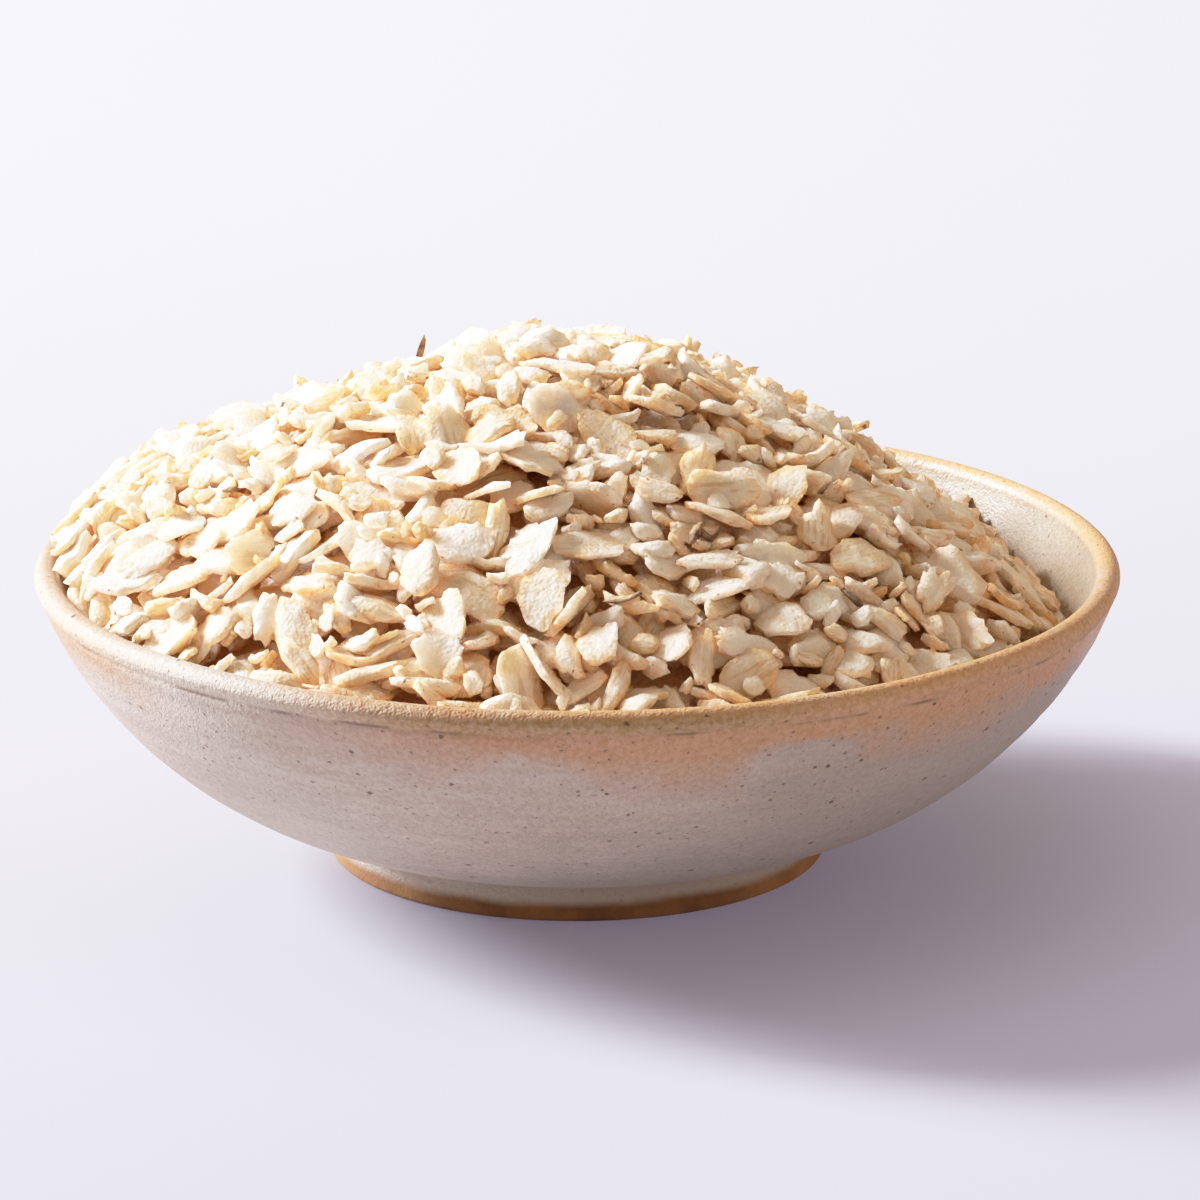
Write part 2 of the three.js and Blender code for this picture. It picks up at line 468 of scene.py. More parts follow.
@dataclass(frozen=True)
class StonewareFinish:
    """Satin stoneware glaze: warm grey, specked with iron, blushed under the rim, bare at the foot, with
    painted light making it brighter at the right, the far left, the foot's sides and low down.
    """

    name: str = "stoneware_glaze"
    grey: Colour = (0.44, 0.327, 0.237, 1)
    pale: Colour = (0.60, 0.475, 0.37, 1)
    blush: Colour = (0.46, 0.198, 0.062, 1)
    # painted light: a brighter copy of the blush, used towards the right and at the far left of the band
    blush_painted_lit: Colour = (0.72, 0.36, 0.143, 1)
    lip: Colour = (0.44, 0.173, 0.039, 1)
    ash: Colour = (0.42, 0.215, 0.057, 1)
    lip_pale: Colour = (0.67, 0.54, 0.41, 1)
    # painted light: a brighter copy of the worn lip's tan, used towards the right
    lip_painted_lit: Colour = (0.74, 0.34, 0.10, 1)
    sand: Colour = (0.26, 0.182, 0.126, 1)
    salt: Colour = (0.69, 0.555, 0.425, 1)
    cream: Colour = (0.41, 0.292, 0.172, 1)
    clay: Colour = (0.19, 0.076, 0.018, 1)
    # painted light: a brighter copy of the bare clay, used at the foot's left and right
    clay_painted_lit: Colour = (0.52, 0.235, 0.07, 1)
    iron: Colour = (0.13, 0.06, 0.028, 1)
    rust: Colour = (0.21, 0.09, 0.035, 1)
    # painted light: the direction towards which the glaze, its blush, its lip and its band are painted
    # brighter
    right: Triple = (1.0, 0.0, 0.0)
    blush_towards: Triple = (0.60, -0.80, 0.0)
    blush_left: Triple = (-0.95, -0.31, 0.0)
    pale_lip_towards: Triple = (-0.85, -0.53, 0.0)
    right_turn: Pair = (-0.5, 0.9)
    blush_turn: Pair = (0.25, 0.85)
    left_turn: Pair = (0.90, 0.99)
    pale_lip_turn: Pair = (0.72, 0.95)
    clay_top: float = 2.3
    neck: float = 5.1
    pale_foot_top: float = 11.1
    blush_foot: float = 25.0
    groove: float = 36.2
    pale_clouds: Clouds = Clouds(45.0, 4.0, 0.35, 0.68)
    cloud_share: float = 0.6
    level_streaks: Clouds = Clouds(60.0, 4.0, 0.4, 0.65)
    streak_stretch: float = 9.0
    streak_share: float = 0.4
    painted_light_right: float = 0.6
    cream_side: Pair = (0.55, 0.9)
    outer_side: Pair = (0.6, 0.9)
    speck_stretch: float = 1.2
    blush_clouds: Clouds = Clouds(40.0, 4.0, 0.27, 0.66)
    blush_top: Pair = (1.0, 0.5)
    blush_strength: float = 1.15
    left_blush: float = 0.8
    wear: Clouds = Clouds(140.0, 5.0, 0.28, 0.55)
    unworn: float = 0.9
    lip_outer: Pair = (0.02, 0.25)
    lip_inner: Pair = (0.98, 0.75)
    grains: Clouds = Clouds(1500.0, 3.0, 0.38, 0.62)
    grain_share: float = 0.18
    band_grain: float = 0.06
    band_start: Pair = (-0.3, 0.5)
    band_strength: float = 0.85
    band_left: float = 0.6
    band_painted_light_right: Pair = (0.5, 0.85)
    line_breaks: Clouds = Clouds(150.0, 4.0, 0.46, 0.66)
    groove_line: Pair = (0.35, 0.05)
    groove_strength: float = 0.7
    neck_line: Pair = (0.5, 0.1)
    neck_strength: float = 0.8
    pale_foot: float = 0.65
    clay_mottle: Clouds = Clouds(170.0, 4.0, 0.35, 0.68)
    clay_patches: float = 0.4
    clay_turn: Pair = (0.3, 0.95)
    painted_light_sides: float = 0.6
    clay_wave: float = 1.2
    clay_waves: Pair = (90.0, 3.0)
    clay_fade: Pair = (0.8, 0.6)
    satin: Clouds = Clouds(90.0, 4.0, 0.3, 0.7)
    smoothest: float = 0.40
    satin_range: float = 0.16
    dull: float = 0.8
    dull_start: float = 0.6
    skin: Relief = Relief(1100.0, 3200.0, 0.6, 0.5, 0.22 * MM)
    lip_relief: float = 0.5

    @property
    def specks(self) -> tuple[Specks, ...]:
        """The layers of specks, from the largest to the finest."""
        return (
            Specks(360.0, 0.14, 0.7, 0.9, self.iron),
            Specks(600.0, 0.17, 0.85, 0.75, self.rust),
            Specks(1250.0, 0.25, 0.45, 0.45, self.rust),
        )

    def material(self, effects: Effects) -> bpy.types.Material:
        """Builds the material.

        Args:
            effects: The shared shader effects.

        Returns:
            The material.
        """
        material, nodes, shader, place = started_material(self.name)
        spot = self._spot(nodes, place)
        colour = self._wall(nodes, effects, spot)
        colour = self._rim(nodes, effects, spot, colour)
        # paler glaze from low on the wall down over the foot: on the foot this is the glaze's own pale band,
        # higher up it is painted light that lifts the shaded underside
        low = nodes.ramp(spot.height, self.pale_foot_top, self.neck - self.neck_line[0])
        colour = nodes.mix(nodes.times(low, self.pale_foot), colour, self.salt)
        colour = nodes.mix(self._dark_lines(nodes, effects, spot), colour, self.iron)
        bare = self._bare_clay(nodes, spot)
        colour = nodes.mix(bare, colour, self._clay(nodes, effects, spot))
        nodes.join(colour, shader.inputs["Base Color"])
        shine = nodes.math(
            "MULTIPLY_ADD", self.satin.mask(nodes, effects, place), self.satin_range, self.smoothest
        )
        lip_start = (self.groove - self.dull_start, self.groove + self.dull_start)
        lip = nodes.times(nodes.ramp(spot.height, *lip_start), spot.outside)
        dull = nodes.times(nodes.math("MAXIMUM", bare, lip), self.dull)
        nodes.join(nodes.math("MAXIMUM", shine, dull), shader.inputs["Roughness"])
        rougher = nodes.math("MULTIPLY_ADD", lip, self.lip_relief, 1.0)
        self.skin.bump(nodes, shader, nodes.times(self.skin.height(nodes, effects, place), rougher))
        return material

    def _spot(self, nodes: Nodes, place: Socket) -> WallSpot:
        """Where a point lies: its height in millimetres, its direction and its side of the wall."""
        inside = carried(nodes, Attribute.WALL)
        way = nodes.vector("NORMALIZE", nodes.vector("MULTIPLY", place, (1.0, 1.0, 0.0)))
        return WallSpot(
            place=place,
            height=nodes.math("DIVIDE", nodes.axes(place)[2], MM),
            way=way,
            # a mask towards the right, where light is painted onto the glaze
            right=self._towards(nodes, way, self.right, self.right_turn),
            inside=inside,
            outside=nodes.math("SUBTRACT", 1.0, inside),
        )

    @staticmethod
    def _towards(nodes: Nodes, way: Socket, direction: Triple, turn: Pair) -> Socket:
        """A mask that grows as the wall turns to face a direction.

        Args:
            nodes: The material's nodes.
            way: The direction from the bowl's axis to the point.
            direction: The direction to face.
            turn: The cosine at which the mask is 0 and the one at which it is 1.

        Returns:
            The mask.
        """
        facing = nodes.add("ShaderNodeVectorMath", {0: way, 1: direction}, operation="DOT_PRODUCT")
        return nodes.ramp(facing.outputs["Value"], *turn)

    @staticmethod
    def _stretched(nodes: Nodes, place: Socket, factor: float) -> Socket:
        """Coordinates in which a pattern comes out drawn out sideways by a factor."""
        return nodes.vector("MULTIPLY", place, (1.0, 1.0, factor))

    def _wall(self, nodes: Nodes, effects: Effects, spot: WallSpot) -> Socket:
        """The glaze's colour over the wall: grey with paler clouds, blushed outside, cream inside, with
        painted light making it paler and the blush brighter towards the right.
        """
        clouds = self.pale_clouds.mask(nodes, effects, spot.place)
        level = self._stretched(nodes, spot.place, self.streak_stretch)
        streaks = self.level_streaks.mask(nodes, effects, level)
        streaks = nodes.times(streaks, self.streak_share)
        share = nodes.math("ADD", nodes.times(clouds, self.cloud_share), streaks)
        colour = nodes.mix(share, self.grey, self.pale)
        # painted light: the glaze paler towards the right
        colour = nodes.mix(nodes.times(spot.right, self.painted_light_right), colour, self.pale)
        # painted light: the blush brighter towards the right
        flush = nodes.mix(spot.right, self.blush, self.blush_painted_lit)
        colour = nodes.mix(self._blush(nodes, effects, spot), colour, flush)
        return nodes.mix(nodes.ramp(spot.inside, *self.cream_side), colour, self.cream)

    def _blush(self, nodes: Nodes, effects: Effects, spot: WallSpot) -> Socket:
        """Where the orange blush lies: under the rim, towards the front right and at the far left."""
        right = self._towards(nodes, spot.way, self.blush_towards, self.blush_turn)
        left = self._towards(nodes, spot.way, self.blush_left, self.left_turn)
        side = nodes.math("MAXIMUM", right, nodes.times(left, self.left_blush))
        cloud = self.blush_clouds.mask(nodes, effects, spot.place)
        thin, full = (self.groove - gap for gap in self.blush_top)
        depth = nodes.math("MULTIPLY_ADD", cloud, self.blush_foot - self.groove, thin)
        rise = nodes.ramp(spot.height, depth, full)
        return nodes.times(side, rise, spot.outside, self.blush_strength)

    def _rim(self, nodes: Nodes, effects: Effects, spot: WallSpot, colour: Socket) -> Socket:
        """Adds the rough band over the groove, the worn lip, the glaze's sandy grain and its specks.

        Args:
            nodes: The material's nodes.
            effects: The shared shader effects.
            spot: The point of the bowl.
            colour: The glaze's colour so far.

        Returns:
            The colour with all of these on it.
        """
        left_front = self._towards(nodes, spot.way, self.pale_lip_towards, self.pale_lip_turn)
        far_left = self._towards(nodes, spot.way, self.blush_left, self.left_turn)
        rough = nodes.mix(left_front, self.ash, self.lip_pale)
        # painted light: the band takes the brighter copy of the blush at the far left and towards the right
        rough = nodes.mix(nodes.times(far_left, self.band_left), rough, self.blush_painted_lit)
        rough = nodes.mix(nodes.ramp(spot.right, *self.band_painted_light_right), rough, self.blush_painted_lit)
        start = (self.groove + self.band_start[0], self.groove + self.band_start[1])
        band = nodes.times(nodes.ramp(spot.height, *start), spot.outside)
        colour = nodes.mix(nodes.times(band, self.band_strength), colour, rough)
        # painted light: the worn lip brighter towards the right
        worn = nodes.mix(spot.right, self.lip, self.lip_painted_lit)
        colour = nodes.mix(self._worn_lip(nodes, effects, spot, left_front), colour, worn)
        grains = nodes.mix(self.grains.mask(nodes, effects, spot.place), self.sand, self.salt)
        grainy = nodes.math("MULTIPLY_ADD", band, self.band_grain, self.grain_share)
        colour = nodes.mix(grainy, colour, grains)
        spread = self._stretched(nodes, spot.place, self.speck_stretch)
        for layer in self.specks:
            colour = nodes.mix(layer.mask(nodes, effects, spread), colour, layer.colour)
        return colour

    def _worn_lip(self, nodes: Nodes, effects: Effects, spot: WallSpot, left_front: Socket) -> Socket:
        """Where the glaze breaks to tan along the top of the lip: everywhere but at the left front."""
        worn = self.wear.mask(nodes, effects, spot.place)
        bare = nodes.math("SUBTRACT", 1.0, nodes.times(left_front, self.unworn))
        inner = nodes.ramp(spot.inside, *self.lip_inner)
        return nodes.times(nodes.ramp(spot.inside, *self.lip_outer), inner, worn, bare)

    def _dark_lines(self, nodes: Nodes, effects: Effects, spot: WallSpot) -> Socket:
        """The broken dark line in the groove under the lip, and the one round the foot's neck."""
        broken = self.line_breaks.mask(nodes, effects, spot.place)
        line = nodes.ramp(nodes.away(spot.height, self.groove), *self.groove_line)
        line = nodes.times(line, broken, self.groove_strength)
        joint = nodes.ramp(nodes.away(spot.height, self.neck), *self.neck_line)
        joint = nodes.times(joint, self.neck_strength)
        return nodes.times(nodes.math("MAXIMUM", line, joint), nodes.ramp(spot.outside, *self.outer_side))

    def _clay(self, nodes: Nodes, effects: Effects, spot: WallSpot) -> Socket:
        """The bare clay's colour: mottled brown, with painted light making it brighter at the foot's left and
        right.
        """
        mottle = self.clay_mottle.mask(nodes, effects, spot.place)
        across = nodes.math("ABSOLUTE", nodes.axes(spot.way)[0])
        # painted light: the clay brighter where the foot turns to the left and the right
        sides = nodes.times(nodes.ramp(across, *self.clay_turn), self.painted_light_sides)
        share = nodes.math("MULTIPLY_ADD", mottle, self.clay_patches, sides)
        return nodes.mix(share, self.clay, self.clay_painted_lit)

    def _bare_clay(self, nodes: Nodes, spot: WallSpot) -> Socket:
        """Where the foot is bare clay: below an uneven edge of the glaze."""
        wave = nodes.noise(spot.place, *self.clay_waves)
        edge = nodes.math("MULTIPLY_ADD", wave, self.clay_wave, self.clay_top - self.clay_wave / 2)
        glazed = nodes.math("ADD", edge, self.clay_fade[0])
        below = nodes.ramp(spot.height, glazed, nodes.math("SUBTRACT", edge, self.clay_fade[1]))
        return nodes.times(below, nodes.ramp(spot.outside, *self.outer_side))


@dataclass(frozen=True)
class FloorFinish:
    """A plain pale floor with a faint unevenness, darker at the front and paler at the back as painted light,
    and a little light of its own that lifts the shadow.
    """

    name: str = "pale_floor"
    near: Colour = (0.352, 0.345, 0.368, 1)
    far: Colour = (0.51, 0.50, 0.515, 1)
    clouds: Clouds = Clouds(5.0, 3.0, 0.2, 0.8)
    cloud_reach: float = 0.1
    near_end: float = -0.25
    far_start: float = 0.5
    lift: Colour = (1.0, 0.88, 1.32, 1)
    lift_strength: float = 0.15
    lift_least: float = 0.45
    lift_from: float = 0.05
    lift_to: float = 0.10
    roughness: float = 0.7

    def material(self, effects: Effects) -> bpy.types.Material:
        """Builds the material.

        Args:
            effects: The shared shader effects.

        Returns:
            The material.
        """
        material, nodes, shader, place = started_material(self.name)
        clouds = self.clouds.mask(nodes, effects, place)
        depth = nodes.math("MULTIPLY_ADD", clouds, self.cloud_reach, nodes.axes(place)[1])
        # painted light: the floor goes from darker near the front to paler at the back, standing in for the
        # light's fall-off
        back = nodes.ramp(depth, self.near_end, self.far_start)
        nodes.join(nodes.mix(back, self.near, self.far), shader.inputs["Base Color"])
        shader.inputs["Emission Color"].default_value = self.lift
        away = nodes.add("ShaderNodeVectorMath", {0: place}, operation="LENGTH").outputs["Value"]
        open_floor = nodes.ramp(away, self.lift_from, self.lift_to)
        share = nodes.math("MULTIPLY_ADD", open_floor, 1 - self.lift_least, self.lift_least)
        nodes.join(nodes.times(share, self.lift_strength), shader.inputs["Emission Strength"])
        material.cycles.emission_sampling = "NONE"
        shader.inputs["Roughness"].default_value = self.roughness
        return material


# Meshes


def mesh_object(name: str, mesh: bpy.types.Mesh) -> bpy.types.Object:
    """An object of this mesh, linked into the scene."""
    made = bpy.data.objects.new(name, mesh)
    bpy.context.scene.collection.objects.link(made)
    return made


def built_by(
    tree: bpy.types.NodeTree, source: bpy.types.Object, values: dict[str, Any]
) -> bpy.types.Mesh:
    """Runs a Geometry Nodes tree on an object.

    Args:
        tree: The tree.
        source: The object that the tree starts from. It is removed.
        values: What goes into the tree's named inputs.

    Returns:
        The result as a plain mesh.
    """
    modifier = source.modifiers.new(tree.name, "NODES")
    modifier.node_group = tree
    for socket in tree.interface.items_tree:
        if socket.in_out == "INPUT" and socket.name in values:
            modifier[socket.identifier] = values[socket.name]
    source.update_tag()
    depsgraph = bpy.context.evaluated_depsgraph_get()
    evaluated = source.evaluated_get(depsgraph)
    mesh = bpy.data.meshes.new_from_object(evaluated, preserve_all_data_layers=True, depsgraph=depsgraph)
    source.modifiers.clear()
    bpy.data.objects.remove(source)
    return mesh


def finish_tree(nodes: Nodes, geometry: Socket, finish: Socket, result: Socket) -> None:
    """Ends a Geometry Nodes tree: real geometry in its material.

    Args:
        nodes: The tree's nodes.
        geometry: What was made.
        finish: The material.
        result: The socket that takes the result.
    """
    real = nodes.add("GeometryNodeRealizeInstances", {"Geometry": geometry})
    dressed = nodes.add("GeometryNodeSetMaterial", {"Geometry": real.outputs[0], "Material": finish})
    nodes.join(dressed.outputs[0], result)


def set_numbers(mesh: bpy.types.Mesh, attribute: Attribute, values: np.ndarray) -> None:
    """Stores a number, a whole number or a vector at each vertex of a mesh."""
    if values.ndim == 2:
        layer = mesh.attributes.new(attribute.value, "FLOAT_VECTOR", "POINT")
        layer.data.foreach_set("vector", values.astype(np.float32).ravel())
        return
    whole = np.issubdtype(values.dtype, np.integer)
    layer = mesh.attributes.new(attribute.value, "INT" if whole else "FLOAT", "POINT")
    layer.data.foreach_set("value", values if whole else values.astype(np.float32))


def bezier(points: Sequence[Pair], shares: np.ndarray) -> np.ndarray:
    """Points of a cubic curve.

    Args:
        points: Its two ends with its two handles between them.
        shares: How far along the curve each point lies, from 0 to 1.

    Returns:
        One row for each point.
    """
    a, b, c, d = (np.array(p, float) for p in points)
    t = shares[:, None]
    return (1 - t) ** 3 * a + 3 * (1 - t) ** 2 * t * b + 3 * (1 - t) * t**2 * c + t**3 * d


def arc(centre: Pair, radii: Pair, turn: Pair, steps: int) -> np.ndarray:
    """Points of an elliptic arc.

    Args:
        centre: Its centre.
        radii: Its two half axes.
        turn: First and last angle in radians.
        steps: How many points.

    Returns:
        One row for each point.
    """
    angle = np.linspace(*turn, steps)
    return np.stack([centre[0] + radii[0] * np.cos(angle), centre[1] + radii[1] * np.sin(angle)], axis=1)


# Bowl


@dataclass
class Bowl:
    """The bowl: a turned section with a foot ring, a grooved lip and the slight wobble of hand throwing."""

    rim_radius: float
    height: float
    lip_thickness: float = 3.2
    lip_rise: float = 1.6
    lip_steps: int = 15
    floor_height: float = 9.0
    outer_low: Pair = (48.8, 7.7)
    outer_high: Pair = (64.5, 21.5)
    outer_steps: int = 78
    outer_crowding: float = 1.5
    inner_high: Pair = (61.2, 23.0)
    inner_low: Pair = (47.0, 9.0)
    inner_steps: int = 46
    foot_radius: float = 32.4
    foot_height: float = 5.1
    foot_edge: float = 0.8
    outer_edge_steps: int = 6
    inner_edge_steps: int = 5
    neck_radius: float = 31.6
    neck_start: float = 1.6
    neck_tuck: Pair = (0.2, 0.25)
    neck_steps: int = 6
    ring_width: float = 7.0
    recess: float = 2.2
    recess_steps: int = 9
    hollow_steps: int = 4
    groove_below_rim: float = 3.0
    groove_depth: float = 0.22
    groove_width: float = 0.35
    segments: int = 168
    seed: int = 5
    out_of_round: float = 0.35
    round_noise: Pair = (0.0, 0.8)
    rim_wave: float = 0.55
    wave_noise: Pair = (7.0, 1.1)
    ridges: float = 0.16
    ridge_noise: Pair = (13.0, 1.0)
    ridges_in_metre: float = 420.0
    ridge_drift: float = 0.6
    ridged_rise: Pair = (0.16, 0.4)
    swelling_rise: Pair = (0.12, 0.5)
    waving_rise: Pair = (0.5, 1.0)
    noise_gain: float = 3.0
    merge_distance: float = 0.002

    @property
    def lip_base(self) -> float:
        """Height at which the lip's rounding starts."""
        return self.height - self.lip_rise

    @property
    def lip_inner(self) -> float:
        """Radius of the wall's inside just under the lip."""
        return self.rim_radius - self.lip_thickness

    def inner_wall(self, steps: int) -> np.ndarray:
        """Radius and height along the inner wall, from the lip to the middle of the floor."""
        ends = [(self.lip_inner, self.lip_base), self.inner_high, self.inner_low, (0.0, self.floor_height)]
        return bezier(ends, np.linspace(0, 1, steps))

    def _outer_wall(self) -> np.ndarray:
        """Radius and height along the outer wall, from the foot's neck to the lip, with its groove."""
        shares = 1 - (1 - np.linspace(0, 1, self.outer_steps)) ** self.outer_crowding
        start = (self.neck_radius, self.foot_height)
        wall = bezier([start, self.outer_low, self.outer_high, (self.rim_radius, self.lip_base)], shares)
        away = (wall[:, 1] - (self.height - self.groove_below_rim)) / self.groove_width
        wall[:, 0] -= self.groove_depth * np.exp(-(away**2))
        return wall

    def _foot(self) -> np.ndarray:
        """Radius and height along the foot, from the middle of its underside to its neck."""
        ring_inner = self.foot_radius - self.ring_width
        edge = self.foot_edge
        radii = (edge, edge)
        quarter = math.pi / 2
        across = np.linspace(0, ring_inner - edge, self.recess_steps)
        under = np.stack([across, np.full(self.recess_steps, self.recess)], axis=1)
        hollow = arc((ring_inner - edge, self.recess - edge), radii, (quarter, 0), self.hollow_steps)
        inner_edge = arc((ring_inner + edge, edge), radii, (2 * quarter, 3 * quarter), self.inner_edge_steps)
        outer_edge = arc((self.foot_radius - edge, edge), radii, (-quarter, 0), self.outer_edge_steps)
        neck_end = (self.neck_radius - self.neck_tuck[0], self.foot_height - self.neck_tuck[1])
        neck = np.linspace((self.foot_radius, self.neck_start), neck_end, self.neck_steps)
        return np.concatenate([under, hollow, inner_edge, outer_edge, neck])

    def section(self) -> tuple[np.ndarray, np.ndarray]:
        """The bowl's section.

        Returns:
            Radius and height of its points, from the middle of the foot over the lip to the middle of
            the floor, and for each point whether it is outside, 0, or inside, 1.
        """
        out = np.concatenate([self._foot(), self._outer_wall()])
        middle = (self.rim_radius - self.lip_thickness / 2, self.lip_base)
        lip = arc(middle, (self.lip_thickness / 2, self.lip_rise), (0, math.pi), self.lip_steps)
        inner = self.inner_wall(self.inner_steps)
        points = np.concatenate([out, lip[1:-1], inner])
        across = np.linspace(0, 1, self.lip_steps)[1:-1]
        wall = np.concatenate([np.zeros(len(out)), across, np.ones(len(inner))])
        return points, wall

    def _tree(self) -> bpy.types.NodeTree:
        """The tree that turns a section about the Z axis."""
        inputs = {
            "Section": GEOMETRY,
            "Segments": WHOLE,
            "Rings": WHOLE,
            "Height": NUMBER,
            "Out of round": NUMBER,
            "Rim wave": NUMBER,
            "Ridges": NUMBER,
            "Seed": NUMBER,
            "Finish": MATERIAL,
        }
        output = ("Bowl", GEOMETRY)
        nodes, given, result = shared_group("Turned bowl", inputs, output, "GeometryNodeTree")
        columns = nodes.math("ADD", given["Segments"], 1.0)
        grid = nodes.add(
            "GeometryNodeMeshGrid",
            {"Size X": 1.0, "Size Y": 1.0, "Vertices X": columns, "Vertices Y": given["Rings"]},
        )
        chart = nodes.axes(grid.outputs["UV Map"])
        index = nodes.math("ROUND", nodes.times(chart[1], nodes.math("SUBTRACT", given["Rings"], 1.0)))

        def sampled(value: Socket, kind: str) -> Socket:
            """A value of the section's point for a ring."""
            feeds = {"Geometry": given["Section"], "Value": value, "Index": index}
            return nodes.add("GeometryNodeSampleIndex", feeds, data_type=kind).outputs[0]

        point = nodes.axes(sampled(nodes.add("GeometryNodeInputPosition").outputs[0], "FLOAT_VECTOR"))
        side = nodes.add("GeometryNodeInputNamedAttribute", {"Name": Attribute.WALL.value}, data_type="FLOAT")
        wall = sampled(side.outputs[0], "FLOAT")
        angle = nodes.times(chart[0], FULL_TURN)
        turn = {0: nodes.math("COSINE", angle), 1: nodes.math("SINE", angle), 2: 0.0}
        way = nodes.add("ShaderNodeCombineXYZ", turn).outputs[0]
        target = self._thrown(nodes, given, way, (point[0], point[2]), wall)
        turned = nodes.add("GeometryNodeSetPosition", {"Geometry": grid.outputs["Mesh"], "Position": target})
        marked = nodes.add(
            "GeometryNodeStoreNamedAttribute",
            {"Geometry": turned.outputs[0], "Name": Attribute.WALL.value, "Value": wall},
            data_type="FLOAT",
            domain="POINT",
        )
        mapped = nodes.add(
            "GeometryNodeStoreNamedAttribute",
            {"Geometry": marked.outputs[0], "Name": BAKE_MAP, "Value": grid.outputs["UV Map"]},
            data_type="FLOAT2",
            domain="CORNER",
        )
        closed = nodes.add(
            "GeometryNodeMergeByDistance",
            {"Geometry": mapped.outputs[0], "Distance": self.merge_distance * MM},
        )
        smooth = nodes.add(
            "GeometryNodeSetShadeSmooth", {"Geometry": closed.outputs[0], "Shade Smooth": True}
        )
        finish_tree(nodes, smooth.outputs[0], given["Finish"], result)
        return nodes.tree

    def _thrown(
        self,
        nodes: Nodes,
        given: dict[str, Socket],
        way: Socket,
        point: tuple[Socket, Socket],
        wall: Socket,
    ) -> Socket:
        """Where a point of the section comes to lie on a bowl that was thrown by hand.

        Args:
            nodes: The tree's nodes.
            given: The tree's inputs by name.
            way: The direction from the bowl's axis.
            point: The point's radius and height.
            wall: Whether the point is outside, 0, or inside, 1.

        Returns:
            Its place: the bowl a little out of round, its rim in a wave, its wall in faint ridges.
        """
        radius, height = point
        rise = nodes.math("DIVIDE", height, given["Height"])
        around = self._drift(nodes, way, given["Seed"], self.round_noise, given["Out of round"])
        wave = self._drift(nodes, way, given["Seed"], self.wave_noise, given["Rim wave"])
        level = nodes.upwards(nodes.times(height, self.ridges_in_metre))
        spiral = nodes.vector("ADD", nodes.scaled(way, self.ridge_drift), level)
        ridge = self._drift(nodes, spiral, given["Seed"], self.ridge_noise, given["Ridges"])
        outer = nodes.math("SUBTRACT", 1.0, wall)
        body = nodes.times(outer, nodes.ramp(rise, *self.ridged_rise))
        swell = nodes.math("ADD", around, nodes.times(ridge, body))
        reach = nodes.math("ADD", radius, nodes.times(swell, nodes.ramp(rise, *self.swelling_rise)))
        top = nodes.math("ADD", height, nodes.times(wave, nodes.ramp(rise, *self.waving_rise)))
        return nodes.vector("ADD", nodes.scaled(way, reach), nodes.upwards(top))

    def _drift(
        self, nodes: Nodes, vector: Socket, seed: Socket, noise: Pair, amount: Socket
    ) -> Socket:
        """A slow noise along a vector, from minus to plus an amount.

        Args:
            nodes: The tree's nodes.
            vector: The vector.
            seed: The seed.
            noise: How far the noise lies from the seed, and its scale.
            amount: The amount.

        Returns:
            The noise.
        """
        shift, scale = noise
        feeds = {"Vector": vector, "W": nodes.math("ADD", seed, shift), "Scale": scale, "Detail": 1.0}
        value = nodes.add("ShaderNodeTexNoise", feeds, noise_dimensions="4D").outputs[0]
        return nodes.times(nodes.math("SUBTRACT", value, 0.5), self.noise_gain, amount)

    def build(self, finish: bpy.types.Material) -> bpy.types.Object:
        """Makes the bowl.

        Args:
            finish: Its material.

        Returns:
            The bowl, which stands for its solid.
        """
        points, wall = self.section()
        mesh = bpy.data.meshes.new("bowl_section")
        mesh.from_pydata([(r * MM, 0.0, z * MM) for r, z in points], [], [])
        set_numbers(mesh, Attribute.WALL, wall)
        values = {
            "Segments": self.segments,
            "Rings": len(points),
            "Height": self.height * MM,
            "Out of round": self.out_of_round * MM,
            "Rim wave": self.rim_wave * MM,
            "Ridges": self.ridges * MM,
            "Seed": float(self.seed),
            "Finish": finish,
        }
        return mesh_object("glazed_bowl", built_by(self._tree(), mesh_object("bowl_section", mesh), values))


# Heap


